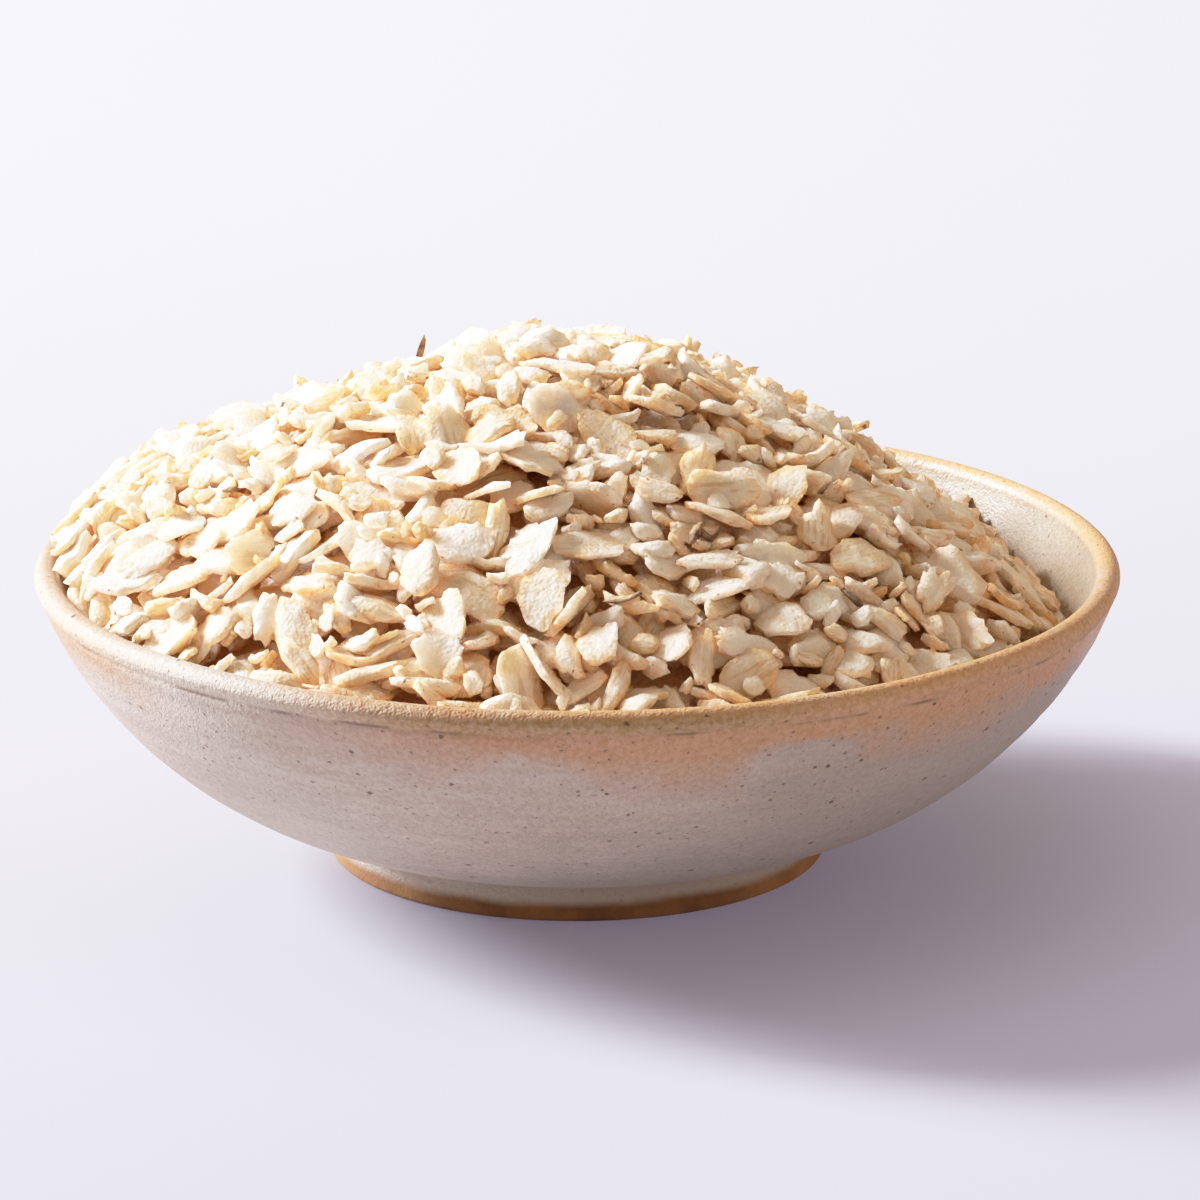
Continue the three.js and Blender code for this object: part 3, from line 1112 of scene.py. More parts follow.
@dataclass
class HeapForm:
    """The heap's surface: a dome with its peak to the left, over an uneven edge.

    The edge dips at the right and at the front and rises to a shoulder at the left. There are slight
    hollows behind that shoulder and at the front right.
    """

    bowl: Bowl
    solid_peak: float
    over_solid: float = 0.4
    peak_shift: float = -5.0
    dome_power: float = 1.8
    edge_below_rim: float = 0.6
    dip_depth: float = 8.4
    dip_angle: float = math.radians(10)
    front_dip: float = 2.2
    front_angle: float = math.radians(-72)
    shoulder_rise: float = 5.0
    shoulder_angle: float = math.radians(163)
    hollow_depth: float = 3.2
    hollow_angle: float = math.radians(155)
    front_hollow: float = 2.6
    front_hollow_angle: float = math.radians(-50)
    swell_power: int = 4
    wall_gap: float = 0.4
    wall_points: int = 200
    rounds: int = 14

    def __post_init__(self) -> None:
        """Keeps the dome's peak, and the bowl's inner wall as a rising curve."""
        self.peak = self.solid_peak + self.over_solid
        self.wall = self.bowl.inner_wall(self.wall_points)[::-1]

    def wall_radius(self, height: np.ndarray) -> np.ndarray:
        """The inner wall's radius at a height."""
        return np.interp(height, self.wall[:, 1], self.wall[:, 0])

    def bowl_height(self, radius: np.ndarray) -> np.ndarray:
        """The height of the bowl's inside, and of its lip, at a radius."""
        bowl = self.bowl
        inside = np.interp(radius, self.wall[:, 0], self.wall[:, 1])
        away = (radius - bowl.rim_radius + bowl.lip_thickness / 2) / (bowl.lip_thickness / 2)
        lip = bowl.lip_base + bowl.lip_rise * np.sqrt(np.clip(1 - away**2, 0, 1))
        return np.where(radius < bowl.lip_inner, inside, np.where(np.abs(away) <= 1, lip, 0.0))

    def _swell(self, angle: np.ndarray, towards: float) -> np.ndarray:
        """A bump of height 1 around one direction, falling to 0 a quarter turn away."""
        return np.maximum(0, np.cos(angle - towards)) ** self.swell_power

    def edge(self, angle: np.ndarray) -> np.ndarray:
        """The height at which the heap's surface ends in a direction."""
        level = self.bowl.height - self.edge_below_rim
        dip = self.dip_depth * self._swell(angle, self.dip_angle)
        dip = dip + self.front_dip * self._swell(angle, self.front_angle)
        return level - dip + self.shoulder_rise * self._swell(angle, self.shoulder_angle)

    def surface(self, x: np.ndarray, y: np.ndarray) -> tuple[np.ndarray, np.ndarray]:
        """The heap's surface over a point.

        Args:
            x: Places along X.
            y: Places along Y.

        Returns:
            The surface's height, and how far out the place is: 0 at the peak and 1 at the wall.
        """
        share = np.full(np.shape(x), 0.5)
        for _ in range(self.rounds):
            off = x - self.peak_shift * (1 - np.minimum(share, 1))
            angle = np.arctan2(y, off)
            reach = self.wall_radius(np.minimum(self.edge(angle), self.bowl.lip_base)) - self.wall_gap
            share = np.hypot(off, y) / reach
        edge = self.edge(angle)
        inner = np.minimum(share, 1)
        hollow = self.hollow_depth * self._swell(angle, self.hollow_angle)
        hollow = hollow + self.front_hollow * self._swell(angle, self.front_hollow_angle)
        dome = edge + (self.peak - edge) * (1 - inner**self.dome_power)
        return dome - hollow * np.sin(math.pi * inner) ** 2, share


@dataclass(frozen=True)
class FlakeKind:
    """One kind of thing in the heap: its sizes in millimetres and how its shapes vary."""

    kind: Kind
    share: float
    length: Pair
    width: Pair
    thickness: Pair
    shapes: int
    rim_points: int = 20
    ragged: float = 0.06
    notches: int = 1
    notch_depth: float = 0.3
    curl: float = 0.5
    lumps: float = 0.25
    edge_height: float = 0.34
    squareness: float = 2.2
    shoulder: float = 0.85
    tuck: Pair = (0.88, 0.98)
    crisp: float = 0.5
    seam: float = 0.0
    fills_gaps: bool = False
    golden: Pair = (0.0, 1.0)
    notch_range: Pair = (0.2, 1.0)
    notch_flank: float = 0.5
    notch_slope: Pair = (0.2, 0.8)
    egg: Pair = (0.07, 0.05)
    wave_beats: tuple[int, ...] = (4, 5, 7)
    jagged: float = 0.7
    wavy: float = 0.6
    radius_limits: Pair = (0.2, 0.62)
    ring_place: Pair = (0.5, 0.7)
    off_centre: float = 0.04
    lump_limits: Pair = (0.6, 1.6)
    brim_wave: float = 0.3
    ring_edge: float = 0.35
    under_edge: float = 0.8
    grain_rise: float = 0.3
    seam_place: float = 0.05
    seam_width: float = 0.14
    upper_faces: int = 4
    chart_size: Pair = (0.38, 0.76)

    def drawn_size(self, rng: np.random.Generator) -> np.ndarray:
        """Length, width and thickness of one of them."""
        return np.array([rng.uniform(*self.length), rng.uniform(*self.width), rng.uniform(*self.thickness)])

    def _outline(self, rng: np.random.Generator) -> np.ndarray:
        """The rim's radius in each direction, for a shape of length and width 1."""
        count = self.rim_points
        angle = np.arange(count) * FULL_TURN / count
        power = self.squareness
        base = (np.abs(np.cos(angle)) ** power + np.abs(np.sin(angle)) ** power) ** (-1 / power)
        blunt, cornered = rng.uniform(0, FULL_TURN), rng.uniform(0, 6)
        egg = 1 + self.egg[0] * np.cos(angle + blunt) + self.egg[1] * np.cos(3 * angle + cornered)
        waves = [np.cos(beat * angle + rng.uniform(0, FULL_TURN)) for beat in self.wave_beats]
        jags = rng.normal(0, self.jagged, count)
        rough = 1 + self.ragged * (jags + rng.normal(0, self.wavy, len(waves)) @ waves)
        radius = 0.5 * base * egg * rough
        for _ in range(self.notches):
            at, depth = rng.integers(count), self.notch_depth * rng.uniform(*self.notch_range)
            shares = (self.notch_flank, 1.0, rng.uniform(*self.notch_slope))
            for step, share in zip((-1, 0, 1), shares):
                radius[(at + step) % count] *= 1 - depth * share
        return np.clip(radius, *self.radius_limits)

    def shape(self, name: str, rng: np.random.Generator) -> bpy.types.Object:
        """Makes one shape of this kind, of length, width and thickness 1.

        Args:
            name: The shape's name.
            rng: The random numbers to draw from.

        Returns:
            An object with the shape's mesh.
        """
        count, ring_count, low_count = self.rim_points, self.rim_points // 4, self.rim_points // 2
        radius = self._outline(rng)
        angle = np.arange(count) * FULL_TURN / count
        rim = np.stack([radius * np.cos(angle), radius * np.sin(angle)], axis=1)
        ring = rim[::4] * rng.uniform(*self.ring_place, (ring_count, 1))
        low = rim[::2] * rng.uniform(*self.tuck, (low_count, 1))
        middle = rng.normal(0, self.off_centre, (1, 2))
        flat = np.concatenate([middle, ring, rim, low, middle])
        tall = 0.5 * np.clip(1 + self.lumps * rng.normal(0, 1, ring_count + 2), *self.lump_limits)
        brim = self.edge_height * (1 + self.brim_wave * rng.normal(0, 1, count + low_count))
        upper = [tall[:1], tall[2:] * self.shoulder, brim[:count]]
        z = np.concatenate([*upper, -np.abs(brim[count:]), -tall[1:2]])
        bend = rng.uniform(-1, 1, 3) * self.curl
        x, y = flat.T
        z = z + bend[0] * 4 * x**2 + bend[1] * 4 * y**2 + bend[2] * 4 * x * y
        mesh = bpy.data.meshes.new(name)
        faces = self._faces(count)
        mesh.from_pydata(np.column_stack([flat, z]).tolist(), [], faces)
        edge = np.repeat([0.0, self.ring_edge, 1.0, self.under_edge], [1, ring_count, count + low_count, 1])
        set_numbers(mesh, Attribute.EDGE, edge)
        set_numbers(mesh, Attribute.GRAIN, np.column_stack([flat, self.grain_rise * z]))
        stripe = np.exp(-(((y - self.seam_place) / self.seam_width) ** 2)) * (z > 0)
        set_numbers(mesh, Attribute.SEAM, self.seam * stripe)
        self._chart(mesh, flat, self.upper_faces * ring_count)
        mesh.polygons.foreach_set("use_smooth", np.ones(len(faces), bool))
        if rng.random() < self.crisp:
            self._sharpen(mesh, ring_count, count)
        return bpy.data.objects.new(name, mesh)

    @staticmethod
    def _faces(count: int) -> list[tuple[int, ...]]:
        """The faces of a shape: first the upper side, four for each ring point, then wall and underside."""
        ring_count, low_count = count // 4, count // 2
        upper = 1 + ring_count
        lower = upper + count
        last = lower + low_count
        top, wall, under = [], [], []
        for i in range(ring_count):
            a, b = 1 + i, 1 + (i + 1) % ring_count
            r0, r1, r2, r3, r4 = (upper + (4 * i + step) % count for step in range(5))
            low0, low1, low2 = (lower + (2 * i + step) % low_count for step in range(3))
            top += [(0, a, b), (a, r0, r1, r2), (a, r2, b), (b, r2, r3, r4)]
            wall += [(r0, low0, low1, r2, r1), (r2, low1, low2, r4, r3)]
            under.append((last, low2, low1, low0))
        return top + wall + under

    def _chart(self, mesh: bpy.types.Mesh, flat: np.ndarray, split: int) -> None:
        """Lays the shape's upper side in the left half of a unit square and the rest in the right half."""
        layer = mesh.uv_layers.new(name=BAKE_MAP)
        for number, face in enumerate(mesh.polygons):
            middle = 0.25 if number < split else 0.75
            for loop in face.loop_indices:
                x, y = flat[mesh.loops[loop].vertex_index]
                layer.data[loop].uv = (middle + self.chart_size[0] * x, 0.5 + self.chart_size[1] * y)

    @staticmethod
    def _sharpen(mesh: bpy.types.Mesh, ring_count: int, count: int) -> None:
        """Marks the rim's upper edge as sharp."""
        upper = range(1 + ring_count, 1 + ring_count + count)
        sharp = mesh.attributes.new("sharp_edge", "BOOLEAN", "EDGE")
        for edge in mesh.edges:
            a, b = edge.vertices
            sharp.data[edge.index].value = a in upper and b in upper and abs(a - b) in (1, count - 1)


@dataclass
class Laid:
    """One thing that has been laid on the heap."""

    place: np.ndarray
    axes: np.ndarray
    size: np.ndarray


@dataclass
class Trial:
    """A way that a flake could lie: where it touches down, how it fits there and what it covers."""

    laid: Laid
    gap: float
    overshoot: float
    covered: tuple[np.ndarray, np.ndarray]
    top: np.ndarray


@dataclass
class FlakeBed:
    """A height field on which flakes come to rest one after another, up to the heap's surface."""

    form: HeapForm
    depth: float = 7.0
    proud: float = 2.0
    step: float = 0.4
    window: float = 6.0
    settle: float = 0.35
    follow: Pair = (0.4, 1.1)
    lean: float = math.radians(15)
    upright_share: float = 0.10
    upright_lean: float = math.radians(40)
    furthest_lean: float = math.radians(65)
    steepest: float = 1.0
    ways: int = 3
    candidates: int = 24
    allowance: float = 0.5
    overhang: float = 68.2
    wall_slack: float = 0.4
    edge_share: float = 0.985
    rim_checks: int = 12
    domed: float = 0.75
    least_upright: float = 0.5
    patience: int = 90
    refusals: int = 40
    gap_tries: int = 6000
    gap_depth: float = 1.0
    weariness: float = 0.6
    topping: int = 500
    topping_allowance: float = 1.3
    stood_out: float = 0.15
    stood_along: Triple = (0.3, 0.1, 0.95)

    def __post_init__(self) -> None:
        """Starts from the bowl's inside with the heap's core in it."""
        reach = self.form.bowl.rim_radius + self.window + 1
        line = np.arange(-reach, reach + self.step, self.step)
        self.origin = -reach
        self.x, self.y = np.meshgrid(line, line, indexing="ij")
        self.radius = np.hypot(self.x, self.y)
        surface, share = self.form.surface(self.x, self.y)
        self.target = surface - self.proud * (1 - np.minimum(share, 1) ** 2)
        floor = self.form.bowl_height(self.radius)
        self.inside = (share < self.edge_share) & (self.radius < self.form.bowl.lip_inner)
        self.level = np.where(self.inside, np.maximum(floor, self.target - self.depth), floor)
        self.open_cells = np.argwhere(self.inside)
        self.tired = np.zeros_like(self.level)
        half = int(round(self.window / self.step))
        offset = np.arange(-half, half + 1)
        self.near = np.meshgrid(offset, offset, indexing="ij")
        self.dx, self.dy = (n * self.step for n in self.near)
        turn = np.linspace(0, FULL_TURN, self.rim_checks, endpoint=False)
        self.round = np.stack([np.cos(turn), np.sin(turn)])

    def lack(self, cell: tuple[int, int]) -> float:
        """How far the heap is from its surface at a cell."""
        return float(self.target[cell] - self.level[cell])

    def neediest(self, rng: np.random.Generator) -> tuple[int, int]:
        """The cell, among a few drawn at random, where the heap is furthest from its surface.

        A cell that has refused flakes counts for less.
        """
        drawn = self.open_cells[rng.integers(len(self.open_cells), size=self.candidates)]
        cells = drawn[:, 0], drawn[:, 1]
        i, j = drawn[int(np.argmax(self.target[cells] - self.level[cells] - self.tired[cells]))]
        return int(i), int(j)

    def cell_at(self, x: float, y: float) -> tuple[int, int]:
        """The cell over a place."""
        return int(round((x - self.origin) / self.step)), int(round((y - self.origin) / self.step))

    def _axes(self, cell: tuple[int, int], size: np.ndarray, rng: np.random.Generator) -> np.ndarray:
        """Axes of a flake that lies along the slope under it, turned and leaning at random.

        Args:
            cell: The cell under its middle.
            size: Its length, width and thickness.
            rng: The random numbers to draw from.

        Returns:
            Its length, width and upward axes as columns.
        """
        i, j = cell
        arm = max(2, int(size[1] / 2 / self.step))
        level = self.level
        slope = Vector((level[i + arm, j] - level[i - arm, j], level[i, j + arm] - level[i, j - arm], 0.0))
        slope *= rng.uniform(*self.follow) / (2 * arm * self.step)
        if slope.length > self.steepest:
            slope *= self.steepest / slope.length
        lean = self.upright_lean if rng.random() < self.upright_share else self.lean
        way, turn = rng.uniform(0, FULL_TURN, 2)
        tip = math.tan(min(abs(rng.normal(0, lean)), self.furthest_lean))
        normal = (Vector((0.0, 0.0, 1.0)) - slope).normalized()
        normal += tip * Vector((math.cos(way), math.sin(way), 0.0))
        normal.normalize()
        along = Vector((math.cos(turn), math.sin(turn), 0.0))
        along = (along - normal * along.dot(normal)).normalized()
        return np.array((along, normal.cross(along), normal)).T

    def clears_wall(self, laid: Laid) -> bool:
        """Whether a flake's rim stays inside the bowl's wall and within its lip."""
        rim = laid.place[:, None] + (laid.axes[:, :2] * (laid.size[:2] / 2)) @ self.round
        wall = self.form.wall_radius(rim[2]) + self.wall_slack
        limit = np.where(rim[2] < self.form.bowl.lip_base + self.form.bowl.lip_rise, wall, self.overhang)
        return bool(np.all(np.hypot(rim[0], rim[1]) < limit))

    def trial(self, cell: tuple[int, int], size: np.ndarray, axes: np.ndarray) -> Trial:
        """Lowers a flake onto the heap until it touches.

        Args:
            cell: The cell under its middle.
            size: Its length, width and thickness.
            axes: Its axes as columns.

        Returns:
            How it would lie.
        """
        normal = axes[:, 2]
        lift = -(normal[0] * self.dx + normal[1] * self.dy) / normal[2]
        along = axes[0, 0] * self.dx + axes[1, 0] * self.dy + axes[2, 0] * lift
        across = axes[0, 1] * self.dx + axes[1, 1] * self.dy + axes[2, 1] * lift
        out = (2 * along / size[0]) ** 2 + (2 * across / size[1]) ** 2
        under = out <= 1
        i, j = self.near[0][under] + cell[0], self.near[1][under] + cell[1]
        thick = size[2] / 2 * np.sqrt(1 - self.domed * out[under] ** 2) / max(normal[2], self.least_upright)
        middle = lift[under]
        level = self.level[i, j]
        height = float(np.max(level - middle + thick)) - self.settle * size[2]
        top = height + middle + thick
        gap = float(np.mean(height + middle - thick - level))
        over = float(np.mean(top - self.target[i, j]))
        place = np.array([self.x[cell], self.y[cell], height])
        return Trial(Laid(place, axes, size), gap, over, (i, j), top)

    def lay(
        self, cell: tuple[int, int], size: np.ndarray, rng: np.random.Generator, allowance: float
    ) -> Laid | None:
        """Lays a flake the way that fits best of a few, if it stays under the heap's surface.

        Args:
            cell: The cell under its middle.
            size: Its length, width and thickness.
            rng: The random numbers to draw from.
            allowance: How far over the surface it may stand.

        Returns:
            How it lies, or None where it doesn't fit.
        """
        trials = [self.trial(cell, size, self._axes(cell, size, rng)) for _ in range(self.ways)]
        best = min(trials, key=lambda trial: trial.gap)
        if best.overshoot > allowance or not self.clears_wall(best.laid):
            self.tired[cell] += self.weariness
            return None
        i, j = best.covered
        self.level[i, j] = np.maximum(self.level[i, j], best.top)
        return best.laid

    def stood(self, x: float, y: float, size: np.ndarray) -> Laid:
        """Stands a thin thing on end in the heap, its flat side to the front."""
        along = Vector(self.stood_along).normalized()
        across = along.cross(Vector((0.0, 1.0, 0.0))).normalized()
        axes = np.array((along, across, along.cross(across))).T
        height = float(self.level[self.cell_at(x, y)]) + self.stood_out * size[0]
        return Laid(np.array([x, y, height]), axes, size)

    def fill(self, kinds: Sequence[FlakeKind], rng: np.random.Generator) -> dict[Kind, list[Laid]]:
        """Heaps flakes of several kinds up to the surface, closes its gaps and tops it up.

        Args:
            kinds: The kinds, with their shares.
            rng: The random numbers to draw from.

        Returns:
            What was laid, by kind.
        """
        heap: dict[Kind, list[Laid]] = {kind.kind: [] for kind in kinds}
        refused = 0
        while refused < self.refusals:
            kind = self._chosen(kinds, rng)
            size = kind.drawn_size(rng)
            for _ in range(self.patience):
                if laid := self.lay(self.neediest(rng), size, rng, self.allowance):
                    heap[kind.kind].append(laid)
                    break
            else:
                refused += 1
        small = [kind for kind in kinds if kind.fills_gaps]
        for _ in range(self.gap_tries):
            kind = small[int(rng.integers(len(small)))]
            cell = self.neediest(rng)
            if self.lack(cell) < self.gap_depth:
                continue
            if laid := self.lay(cell, kind.drawn_size(rng), rng, self.allowance):
                heap[kind.kind].append(laid)
        self.tired[:] = 0
        for _ in range(self.topping):
            kind = self._chosen(kinds, rng)
            if laid := self.lay(self.neediest(rng), kind.drawn_size(rng), rng, self.topping_allowance):
                heap[kind.kind].append(laid)
        return heap

    @staticmethod
    def _chosen(kinds: Sequence[FlakeKind], rng: np.random.Generator) -> FlakeKind:
        """One of several kinds, drawn by their shares."""
        shares = np.array([kind.share for kind in kinds])
        return kinds[int(rng.choice(len(kinds), p=shares / shares.sum()))]


@dataclass
class Heap:
    """The heap: real flakes of several kinds over a core."""

    form: HeapForm
    seed: int = 23
    loose_bits: int = 70
    loose_scale: float = 0.6
    loose_allowance: float = 1.2
    husk_spots: tuple[Pair, ...] = (
        (15.0, -38.0),
        (15.8, -37.2),
        (14.4, -38.8),
        (-44.0, -20.0),
        (34.3, -41.0),
        (6.0, -52.0),
        (-30.0, 36.0),
        (46.0, 12.0),
    )
    standing_husk: Pair = (-20.5, 18.0)
    bran_specks: int = 70
    speck_scale: Pair = (0.15, 0.3)
    kinds: tuple[FlakeKind, ...] = (
        FlakeKind(
            Kind.BROAD, 0.42, (7.0, 9.8), (4.8, 6.6), (1.0, 1.6), 24, rim_points=32, ragged=0.06,
            notches=1, notch_depth=0.2, curl=0.6, lumps=0.3, crisp=0.7, edge_height=0.32, shoulder=0.95,
            golden=(0.0, 0.8),
        ),
        FlakeKind(
            Kind.TORN, 0.20, (6.0, 9.0), (3.8, 5.6), (1.0, 1.5), 24, rim_points=32, ragged=0.085,
            notches=3, notch_depth=0.36, curl=0.65, lumps=0.3, crisp=0.8, edge_height=0.34, shoulder=0.95,
            fills_gaps=True, golden=(0.05, 1.0),
        ),
        FlakeKind(
            Kind.PUFFED, 0.18, (6.4, 8.8), (3.6, 5.0), (1.8, 2.6), 16, rim_points=28, ragged=0.05, notches=1,
            notch_depth=0.2, curl=0.3, lumps=0.26, edge_height=0.22, squareness=2.1, shoulder=0.9,
            tuck=(0.84, 0.96), crisp=0.0, golden=(0.0, 0.3),
        ),
        FlakeKind(
            Kind.SLIM, 0.17, (6.4, 9.2), (2.3, 3.4), (1.3, 1.9), 16, rim_points=24, ragged=0.055, notches=1,
            notch_depth=0.2, curl=0.45, lumps=0.22, edge_height=0.26, squareness=2.1, crisp=0.0, seam=0.35,
            fills_gaps=True, golden=(0.1, 1.0),
        ),
        FlakeKind(
            Kind.BIT, 0.03, (2.4, 4.8), (1.6, 3.2), (0.8, 1.4), 12, rim_points=16, ragged=0.09,
            notches=1, curl=0.3, lumps=0.2, fills_gaps=True, golden=(0.0, 0.9),
        ),
    )
    husk: FlakeKind = FlakeKind(
        Kind.HUSK, 0, (3.0, 5.4), (0.9, 1.6), (0.4, 0.8), 5, rim_points=12, ragged=0.1,
        notch_depth=0.4, curl=0.9, golden=(0.5, 1.0),
    )
    core_segments: int = 120
    core_rings: int = 34
    core_relief: float = 0.9
    core_middle: float = 0.04
    core_edge: float = 0.985
    # painted shade: this tint keeps the core's darker colours golden, like the shade between flakes
    core_tint: float = 0.9

    def _tree(self) -> bpy.types.NodeTree:
        """The tree that sets shapes on points, each in its own cell of the map for baking."""
        inputs = {
            "Places": GEOMETRY,
            "Shapes": COLLECTION,
            "Columns": NUMBER,
            "Finish": MATERIAL,
        }
        output = ("Flakes", GEOMETRY)
        nodes, given, result = shared_group("Laid flakes", inputs, output, "GeometryNodeTree")

        def read(attribute: Attribute, kind: str) -> Socket:
            """A value that the points carry."""
            feeds = {"Name": attribute.value}
            return nodes.add("GeometryNodeInputNamedAttribute", feeds, data_type=kind).outputs[0]

        shapes = nodes.add(
            "GeometryNodeCollectionInfo",
            {"Collection": given["Shapes"], "Separate Children": True, "Reset Children": True},
        )
        turn = nodes.add("FunctionNodeEulerToRotation", {0: read(Attribute.TURN, "FLOAT_VECTOR")})
        flakes = nodes.add(
            "GeometryNodeInstanceOnPoints",
            {
                "Points": given["Places"],
                "Instance": shapes.outputs[0],
                "Pick Instance": True,
                "Instance Index": read(Attribute.SHAPE, "INT"),
                "Rotation": turn.outputs[0],
                "Scale": read(Attribute.SIZE, "FLOAT_VECTOR"),
            },
        )
        real = nodes.add("GeometryNodeRealizeInstances", {"Geometry": flakes.outputs[0]})
        chart = nodes.add("GeometryNodeInputNamedAttribute", {"Name": BAKE_MAP}, data_type="FLOAT_VECTOR")
        cell = nodes.vector("ADD", chart.outputs[0], read(Attribute.CELL, "FLOAT_VECTOR"))
        spread = nodes.scaled(cell, nodes.math("DIVIDE", 1.0, given["Columns"]))
        mapped = nodes.add(
            "GeometryNodeStoreNamedAttribute",
            {"Geometry": real.outputs[0], "Name": BAKE_MAP, "Value": spread},
            data_type="FLOAT2",
            domain="CORNER",
        )
        finish_tree(nodes, mapped.outputs[0], given["Finish"], result)
        return nodes.tree

    def _piece(
        self,
        kind: FlakeKind,
        laid: Sequence[Laid],
        tree: bpy.types.NodeTree,
        finish: bpy.types.Material,
        rng: np.random.Generator,
    ) -> bpy.types.Object:
        """Makes one kind's piece.

        Args:
            kind: The kind.
            laid: Where its flakes lie.
            tree: The tree that sets shapes on points.
            finish: The material.
            rng: The random numbers to draw from.

        Returns:
            The piece.
        """
        name = kind.kind.value
        shelf = bpy.data.collections.new(f"{name}_shapes")
        bpy.context.scene.collection.children.link(shelf)
        for number in range(kind.shapes):
            shelf.objects.link(kind.shape(f"{name}_shape_{number:02d}", rng))
        places = bpy.data.meshes.new(f"{name}_places")
        places.from_pydata([tuple(flake.place * MM) for flake in laid], [], [])
        turns = [tuple(Matrix(flake.axes.tolist()).to_euler()) for flake in laid]
        columns = math.ceil(math.sqrt(len(laid)))
        numbers = np.arange(len(laid))
        cells = np.column_stack([numbers % columns, numbers // columns, 0 * numbers])
        set_numbers(places, Attribute.TURN, np.array(turns))
        set_numbers(places, Attribute.SIZE, np.array([flake.size * MM for flake in laid]))
        set_numbers(places, Attribute.SHAPE, rng.integers(kind.shapes, size=len(laid)).astype(np.int32))
        set_numbers(places, Attribute.TINT, rng.uniform(*kind.golden, len(laid)))
        set_numbers(places, Attribute.CELL, cells)
        values = {"Shapes": shelf, "Columns": float(columns), "Finish": finish}
        mesh = built_by(tree, mesh_object(f"{name}_places", places), values)
        for shape in list(shelf.objects):
            bpy.data.objects.remove(shape)
        bpy.data.collections.remove(shelf)
        for used in (Attribute.SHAPE, Attribute.TURN, Attribute.SIZE, Attribute.CELL):
            if layer := mesh.attributes.get(used.value):
                mesh.attributes.remove(layer)
        return mesh_object(name, mesh)

    def _core(self, drop: float, finish: bpy.types.Material, rng: np.random.Generator) -> bpy.types.Object:
        """Makes the core: up the bowl's inner wall, then over an uneven dome under the flakes.

        Args:
            drop: How far the dome lies under the heap's surface.
            finish: Its material.
            rng: The random numbers to draw from.

        Returns:
            The core.
        """
        form = self.form
        angle = np.arange(self.core_segments) * FULL_TURN / self.core_segments
        edge = np.minimum(form.edge(angle) - drop, form.bowl.lip_base)
        rim = form.wall_radius(edge) - 2 * form.wall_gap
        rings = []
        for share in np.linspace(self.core_middle, 1, self.core_rings):
            radius = rim * share
            height = np.interp(radius, form.wall[:, 0], form.wall[:, 1]) + form.wall_gap
            rings.append(np.column_stack([radius * np.cos(angle), radius * np.sin(angle), height]))
        for share in np.linspace(self.core_edge, self.core_middle, self.core_rings):
            x, y = rim * share * np.cos(angle), rim * share * np.sin(angle)
            top, _ = form.surface(x, y)
            relief = self.core_relief * rng.uniform(-1, 1, len(angle))
            rings.append(np.column_stack([x, y, top - drop + relief]))
        floor = np.array([[0, 0, rings[0][:, 2].min()]])
        peak = np.array([[0, 0, rings[-1][:, 2].mean()]])
        points = np.concatenate([*rings, floor, peak]) * MM
        count, last = self.core_segments, len(rings) - 1
        faces: list[tuple[int, ...]] = []
        for i in range(count):
            j = (i + 1) % count
            faces += [(k + i, k + j, k + count + j, k + count + i) for k in range(0, last * count, count)]
            faces += [(len(points) - 2, j, i), (len(points) - 1, last * count + i, last * count + j)]
        mesh = bpy.data.meshes.new("heap_core")
        mesh.from_pydata(points.tolist(), [], faces)
        mesh.polygons.foreach_set("use_smooth", np.ones(len(faces), bool))
        # painted shade: the core's material is darker and more golden than the flakes, standing for the shade
        # between them
        mesh.materials.append(finish)
        set_numbers(mesh, Attribute.TINT, np.full(len(points), self.core_tint))
        return mesh_object("heap_core", mesh)

    def build(
        self, rice: bpy.types.Material, husk: bpy.types.Material, under: bpy.types.Material
    ) -> list[bpy.types.Object]:
        """Makes the heap.

        Args:
            rice: The flakes' material.
            husk: The material of the husks.
            under: The core's material, darker than the flakes as painted shade between them.

        Returns:
            The core, and one piece for each kind of thing that lies on it.
        """
        rng = np.random.default_rng(self.seed)
        bed = FlakeBed(self.form)
        heap = bed.fill(self.kinds, rng)
        bits = next(kind for kind in self.kinds if kind.kind is Kind.BIT)
        for _ in range(self.loose_bits):
            cell = bed.neediest(rng)
            size = bits.drawn_size(rng) * self.loose_scale
            if laid := bed.lay(cell, size, rng, self.loose_allowance):
                heap[Kind.BIT].append(laid)
        husks = []
        for x, y in self.husk_spots:
            husks.append(bed.lay(bed.cell_at(x, y), self.husk.drawn_size(rng), rng, math.inf))
        for _ in range(self.bran_specks):
            cell = bed.neediest(rng)
            size = self.husk.drawn_size(rng) * rng.uniform(*self.speck_scale)
            husks.append(bed.lay(cell, size, rng, math.inf))
        husks.append(bed.stood(*self.standing_husk, self.husk.drawn_size(rng)))
        tree = self._tree()
        pieces = [self._core(bed.depth + bed.proud, under, rng)]
        for kind in self.kinds:
            pieces.append(self._piece(kind, heap[kind.kind], tree, rice, rng))
            LOG.info("%s: %d laid", kind.kind.value, len(heap[kind.kind]))
        pieces.append(self._piece(self.husk, [laid for laid in husks if laid], tree, husk, rng))
        return pieces


# Stage


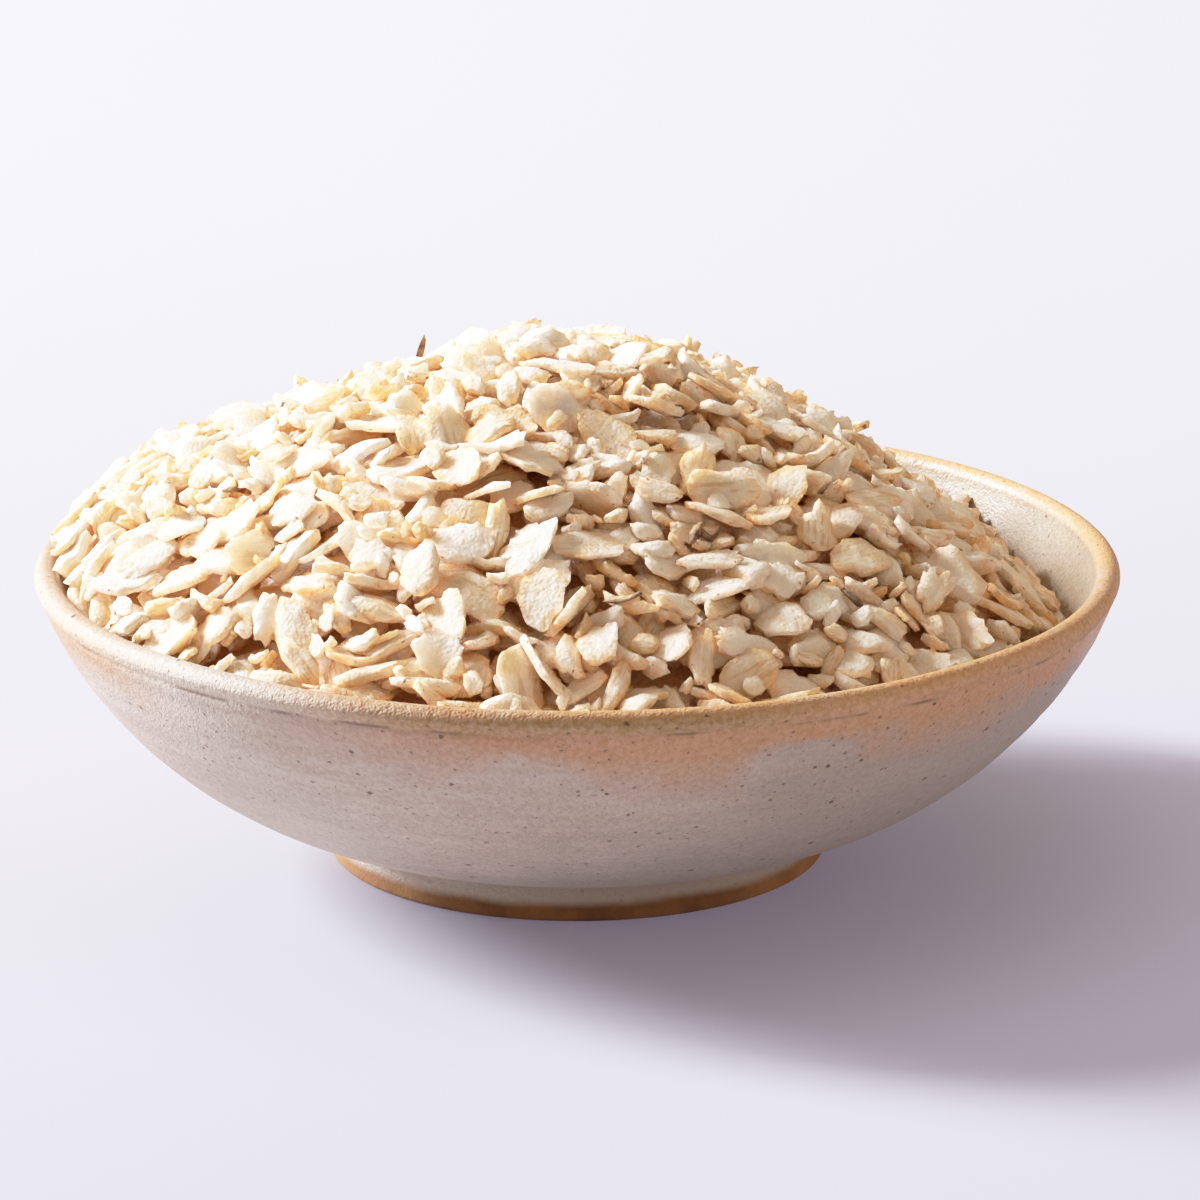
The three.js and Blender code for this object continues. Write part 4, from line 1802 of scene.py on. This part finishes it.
@dataclass
class Stage:
    """The floor, the light and the camera."""

    aim: Triple = (2.94, 0.0, 33.0)
    distance: float = 850.0
    elevation: float = math.radians(16.31)
    focal_pixels: float = 6559.0
    frame_pixels: float = 1200.0
    sensor: float = 36.0
    floor_size: float = 6.0
    window_power: float = 258.0
    window_distance: float = 3.0
    window_size: Pair = (0.6, 1.35)
    window_elevation: float = math.radians(27)
    window_azimuth: float = math.radians(157)
    window_colour: Triple = (0.98, 1.04, 1.19)
    sky_colour: Colour = (1.0, 0.85, 0.69, 1)
    sky_low: float = 0.21
    sky_rise: float = 0.12
    sky_right: float = 0.20
    sky_back: float = 0.13
    light_bounces: int = 12
    brightest: float = 2.0
    shoulder: tuple[Pair, ...] = (
        (0.03, 0.048),
        (0.1, 0.152),
        (0.2, 0.275),
        (0.35, 0.47),
        (0.5, 0.62),
        (0.7, 0.77),
        (1.0, 0.90),
        (1.4, 0.97),
    )

    def build(self, finish: bpy.types.Material) -> None:
        """Makes the stage.

        Args:
            finish: The floor's material.
        """
        scene = bpy.context.scene
        half = self.floor_size / 2
        mesh = bpy.data.meshes.new("floor")
        corners = [(-half, -half, 0), (half, -half, 0), (half, half, 0), (-half, half, 0)]
        mesh.from_pydata(corners, [], [(0, 1, 2, 3)])
        mesh.materials.append(finish)
        mesh_object("floor", mesh)
        self._light(scene)
        self._camera(scene)
        scene.cycles.max_bounces = self.light_bounces
        scene.cycles.diffuse_bounces = self.light_bounces
        self._tone(scene.view_settings)

    def _light(self, scene: bpy.types.Scene) -> None:
        """One soft light like a tall window at the left, and a sky for fill, dim in front."""
        lamp = bpy.data.lights.new("window", "AREA")
        lamp.shape = "RECTANGLE"
        lamp.size, lamp.size_y = self.window_size
        lamp.energy = self.window_power
        lamp.color = self.window_colour
        window = bpy.data.objects.new("window", lamp)
        flat = math.cos(self.window_elevation)
        way = Vector((flat * math.cos(self.window_azimuth), flat * math.sin(self.window_azimuth), 0.0))
        way.z = math.sin(self.window_elevation)
        window.location = way * self.window_distance
        window.rotation_euler = way.to_track_quat("Z", "Y").to_euler()
        scene.collection.objects.link(window)
        world = bpy.data.worlds.new("studio")
        world.use_nodes = True
        sky = world.node_tree.nodes["Background"]
        sky.inputs["Color"].default_value = self.sky_colour
        nodes = Nodes(world.node_tree)
        towards = nodes.axes(nodes.add("ShaderNodeTexCoord").outputs["Generated"])
        strength: Any = self.sky_low
        for part, gain in zip(towards, (self.sky_right, self.sky_back, self.sky_rise)):
            strength = nodes.math("MULTIPLY_ADD", nodes.math("MAXIMUM", part, 0.0), gain, strength)
        nodes.join(strength, sky.inputs["Strength"])
        world.cycles.sampling_method = "NONE"
        scene.world = world

    def _tone(self, settings: bpy.types.ColorManagedViewSettings) -> None:
        """Shows the light as a camera does, with highlights that roll off softly."""
        settings.view_transform = "Standard"
        settings.use_curve_mapping = True
        mapping = settings.curve_mapping
        mapping.white_level = (self.brightest, self.brightest, self.brightest)
        for light, shown in self.shoulder:
            mapping.curves[3].points.new(light / self.brightest, shown)
        mapping.update()

    def _camera(self, scene: bpy.types.Scene) -> None:
        """The camera, at the photograph's viewing angle."""
        lens = bpy.data.cameras.new("camera")
        lens.sensor_width = self.sensor
        lens.lens = self.sensor * self.focal_pixels / self.frame_pixels
        camera = bpy.data.objects.new("camera", lens)
        back = Vector((0.0, -math.cos(self.elevation), math.sin(self.elevation)))
        camera.location = (Vector(self.aim) + self.distance * back) * MM
        camera.rotation_euler = back.to_track_quat("Z", "Y").to_euler()
        scene.collection.objects.link(camera)
        scene.camera = camera


def main() -> None:
    """Builds the bowl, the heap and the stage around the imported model."""
    logging.basicConfig(level=logging.INFO, format="%(message)s")
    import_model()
    _, bowl_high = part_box("bowl")
    _, heap_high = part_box("rice_flakes")
    effects = Effects()
    Stage().build(FloorFinish().material(effects))

    bowl = Bowl(rim_radius=bowl_high.y / MM, height=bowl_high.z / MM)
    dish = bowl.build(StonewareFinish().material(effects))
    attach(dish, BODY)
    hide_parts("bowl")
    LOG.info("%s: %d faces", dish.name, len(dish.data.polygons))

    heap = Heap(HeapForm(bowl, solid_peak=heap_high.z / MM))
    rice = RiceFinish("rice_flake").material(effects)
    # painted shade: the core's rice is darker and more golden than the flakes
    under = RiceFinish("rice_under_painted_shade", chalk=(0.88, 0.585, 0.28, 1), cream=(0.82, 0.49, 0.21, 1), glow=0.0)
    for piece in heap.build(rice, HuskFinish().material(effects), under.material(effects)):
        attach(piece, BODY)
        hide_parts("rice_flakes")
        LOG.info("%s: %d faces", piece.name, len(piece.data.polygons))


if __name__ == "__main__":
    main()
